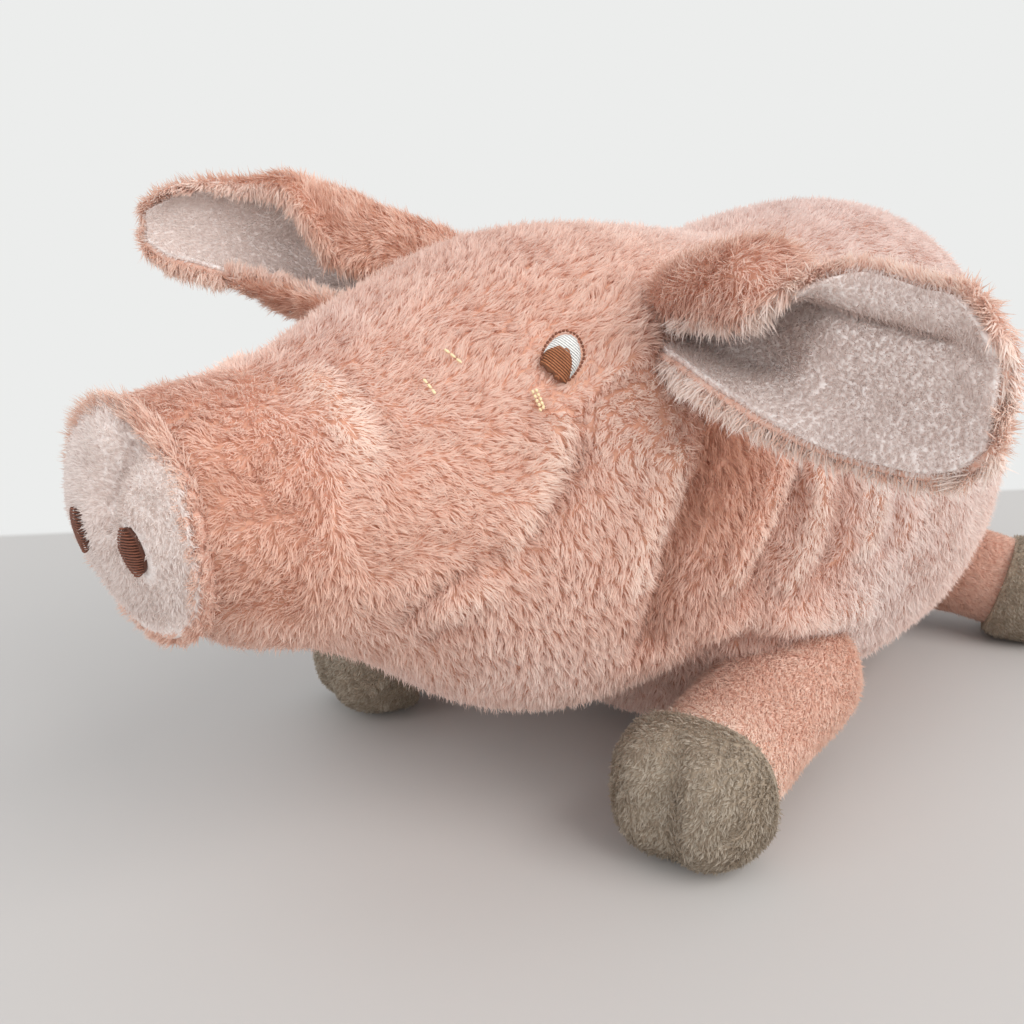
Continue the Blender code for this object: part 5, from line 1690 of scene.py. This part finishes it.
class PLUSHPIG_OT_stage(bpy.types.Operator):
    """Set the floor, the backdrop, the lights and the camera"""

    bl_idname = "plush_pig.stage"
    bl_label = "Stage"

    def execute(self, context):
        c, scene = colours(), bpy.context.scene
        scene.view_settings.view_transform = "Standard"
        material, tree, shader = shader_of("painted_table_top")
        # The table ends behind the pig along a line that turns slightly to the right
        turn = math.radians(CAMERA_TURN)
        right = Vector((math.cos(turn), math.sin(turn), 0))
        ahead = Vector((-math.sin(turn), math.cos(turn), 0))
        eye = Vector((CAMERA_AT[0], CAMERA_AT[1], 0)) * MM
        left_end, right_end = (
            eye + ahead * forth + right * aside for forth, aside in (TABLE_LEFT_END, TABLE_RIGHT_END)
        )
        across = (right_end - left_end).normalized()
        place = made(tree, "ShaderNodeTexCoord", output="Object")
        far = (place - tuple(left_end)).dot((-across.y, across.x, 0))
        inputs = {"Value": far, "From Min": -TABLE_EDGE_BLUR, "From Max": TABLE_EDGE_BLUR}
        edge = made(tree, "ShaderNodeMapRange", inputs, interpolation_type="SMOOTHSTEP")
        plug(shader, {"Base Color": (*c.floor, 1), "Roughness": 0.6})
        wall = made(tree, "ShaderNodeEmission", {"Color": (*c.backdrop, 1), "Strength": 1.0})
        mixed = made(tree, "ShaderNodeMixShader", {0: edge, 1: shader.outputs[0], 2: wall})
        plug(tree.nodes["Material Output"], {"Surface": mixed})
        mesh = bpy.data.meshes.new("table_top")
        signs = ((-1, -1), (1, -1), (1, 1), (-1, 1))
        corners = [(x * TABLE_REACH, y * TABLE_REACH, 0) for x, y in signs]
        mesh.from_pydata(corners, [], [(0, 1, 2, 3)])
        mesh.materials.append(material)
        floor = bpy.data.objects.new("table_top", mesh)
        scene.collection.objects.link(floor)

        world = bpy.data.worlds.new("studio")
        scene.world = world
        world.use_nodes = True
        tree = world.node_tree
        background = tree.nodes["Background"]
        plug(background, {"Color": ROOM_LIGHT, "Strength": ROOM_STRENGTH})
        seen = made(tree, "ShaderNodeBackground", {"Color": (*c.backdrop, 1), "Strength": 1.0})
        path = add(tree, "ShaderNodeLightPath").outputs
        shown = Field(path["Is Camera Ray"])
        for ray in ("Is Glossy Ray", "Is Transmission Ray"):
            shown = shown.step("MAXIMUM", shown, path[ray])
        inputs = {0: shown, 1: background.outputs[0], 2: seen}
        both = made(tree, "ShaderNodeMixShader", inputs)
        plug(tree.nodes["World Output"], {"Surface": both})

        for name, at, size, power, colour in LAMPS:
            lamp = bpy.data.lights.new(name, "AREA")
            lamp.size = size
            lamp.energy = power
            lamp.color = colour
            holder = bpy.data.objects.new(name, lamp)
            holder.location = at
            holder.rotation_mode = "QUATERNION"
            aim = Vector(LAMPS_AIM) - Vector(at)
            holder.rotation_quaternion = aim.to_track_quat("-Z", "Y")
            scene.collection.objects.link(holder)

        lens = bpy.data.cameras.new("camera")
        lens.sensor_width = SENSOR_WIDTH
        lens.lens = SENSOR_WIDTH / 2 / math.tan(math.radians(CAMERA_ANGLE / 2))
        lens.clip_start = 0.01
        lens.clip_end = 50
        camera = bpy.data.objects.new("camera", lens)
        camera.location = Vector(CAMERA_AT) * MM
        pitch = math.radians(CAMERA_PITCH)
        look = ahead * math.cos(pitch) - Vector((0, 0, math.sin(pitch)))
        camera.rotation_mode = "QUATERNION"
        camera.rotation_quaternion = look.to_track_quat("-Z", "Y")
        scene.collection.objects.link(camera)
        scene.camera = camera
        return {"FINISHED"}


class PLUSHPIG_PT_panel(bpy.types.Panel):
    """The plush pig's sizes, colours and pieces"""

    bl_idname = "PLUSHPIG_PT_panel"
    bl_label = "Plush pig"
    bl_space_type = "VIEW_3D"
    bl_region_type = "UI"
    bl_category = "Plush pig"

    def draw(self, context):
        layout = self.layout
        for operator in OPERATORS:
            layout.operator(operator.bl_idname)
        for group in (context.scene.plush_pig_sizes, context.scene.plush_pig_colours):
            for name in group.bl_rna.properties.keys():
                if name not in ("rna_type", "name"):
                    layout.prop(group, name)


OPERATORS = (
    PLUSHPIG_OT_stage,
    PLUSHPIG_OT_body,
    PLUSHPIG_OT_disc,
    PLUSHPIG_OT_legs,
    PLUSHPIG_OT_ears,
    PLUSHPIG_OT_face,
    PLUSHPIG_OT_tail,
)
CLASSES = (PlushPigSizes, PlushPigColours, *OPERATORS, PLUSHPIG_PT_panel)


def register():
    for made in CLASSES:
        bpy.utils.register_class(made)
    bpy.types.Scene.plush_pig_sizes = PointerProperty(type=PlushPigSizes)
    bpy.types.Scene.plush_pig_colours = PointerProperty(type=PlushPigColours)


def unregister():
    del bpy.types.Scene.plush_pig_sizes
    del bpy.types.Scene.plush_pig_colours
    for made in reversed(CLASSES):
        bpy.utils.unregister_class(made)


def main():
    register()
    bpy.ops.plush_pig.stage()
    bpy.ops.plush_pig.body()
    bpy.ops.plush_pig.disc()
    bpy.ops.plush_pig.legs()
    bpy.ops.plush_pig.ears()
    bpy.ops.plush_pig.face()
    bpy.ops.plush_pig.tail()


if __name__ == "__main__":
    main()
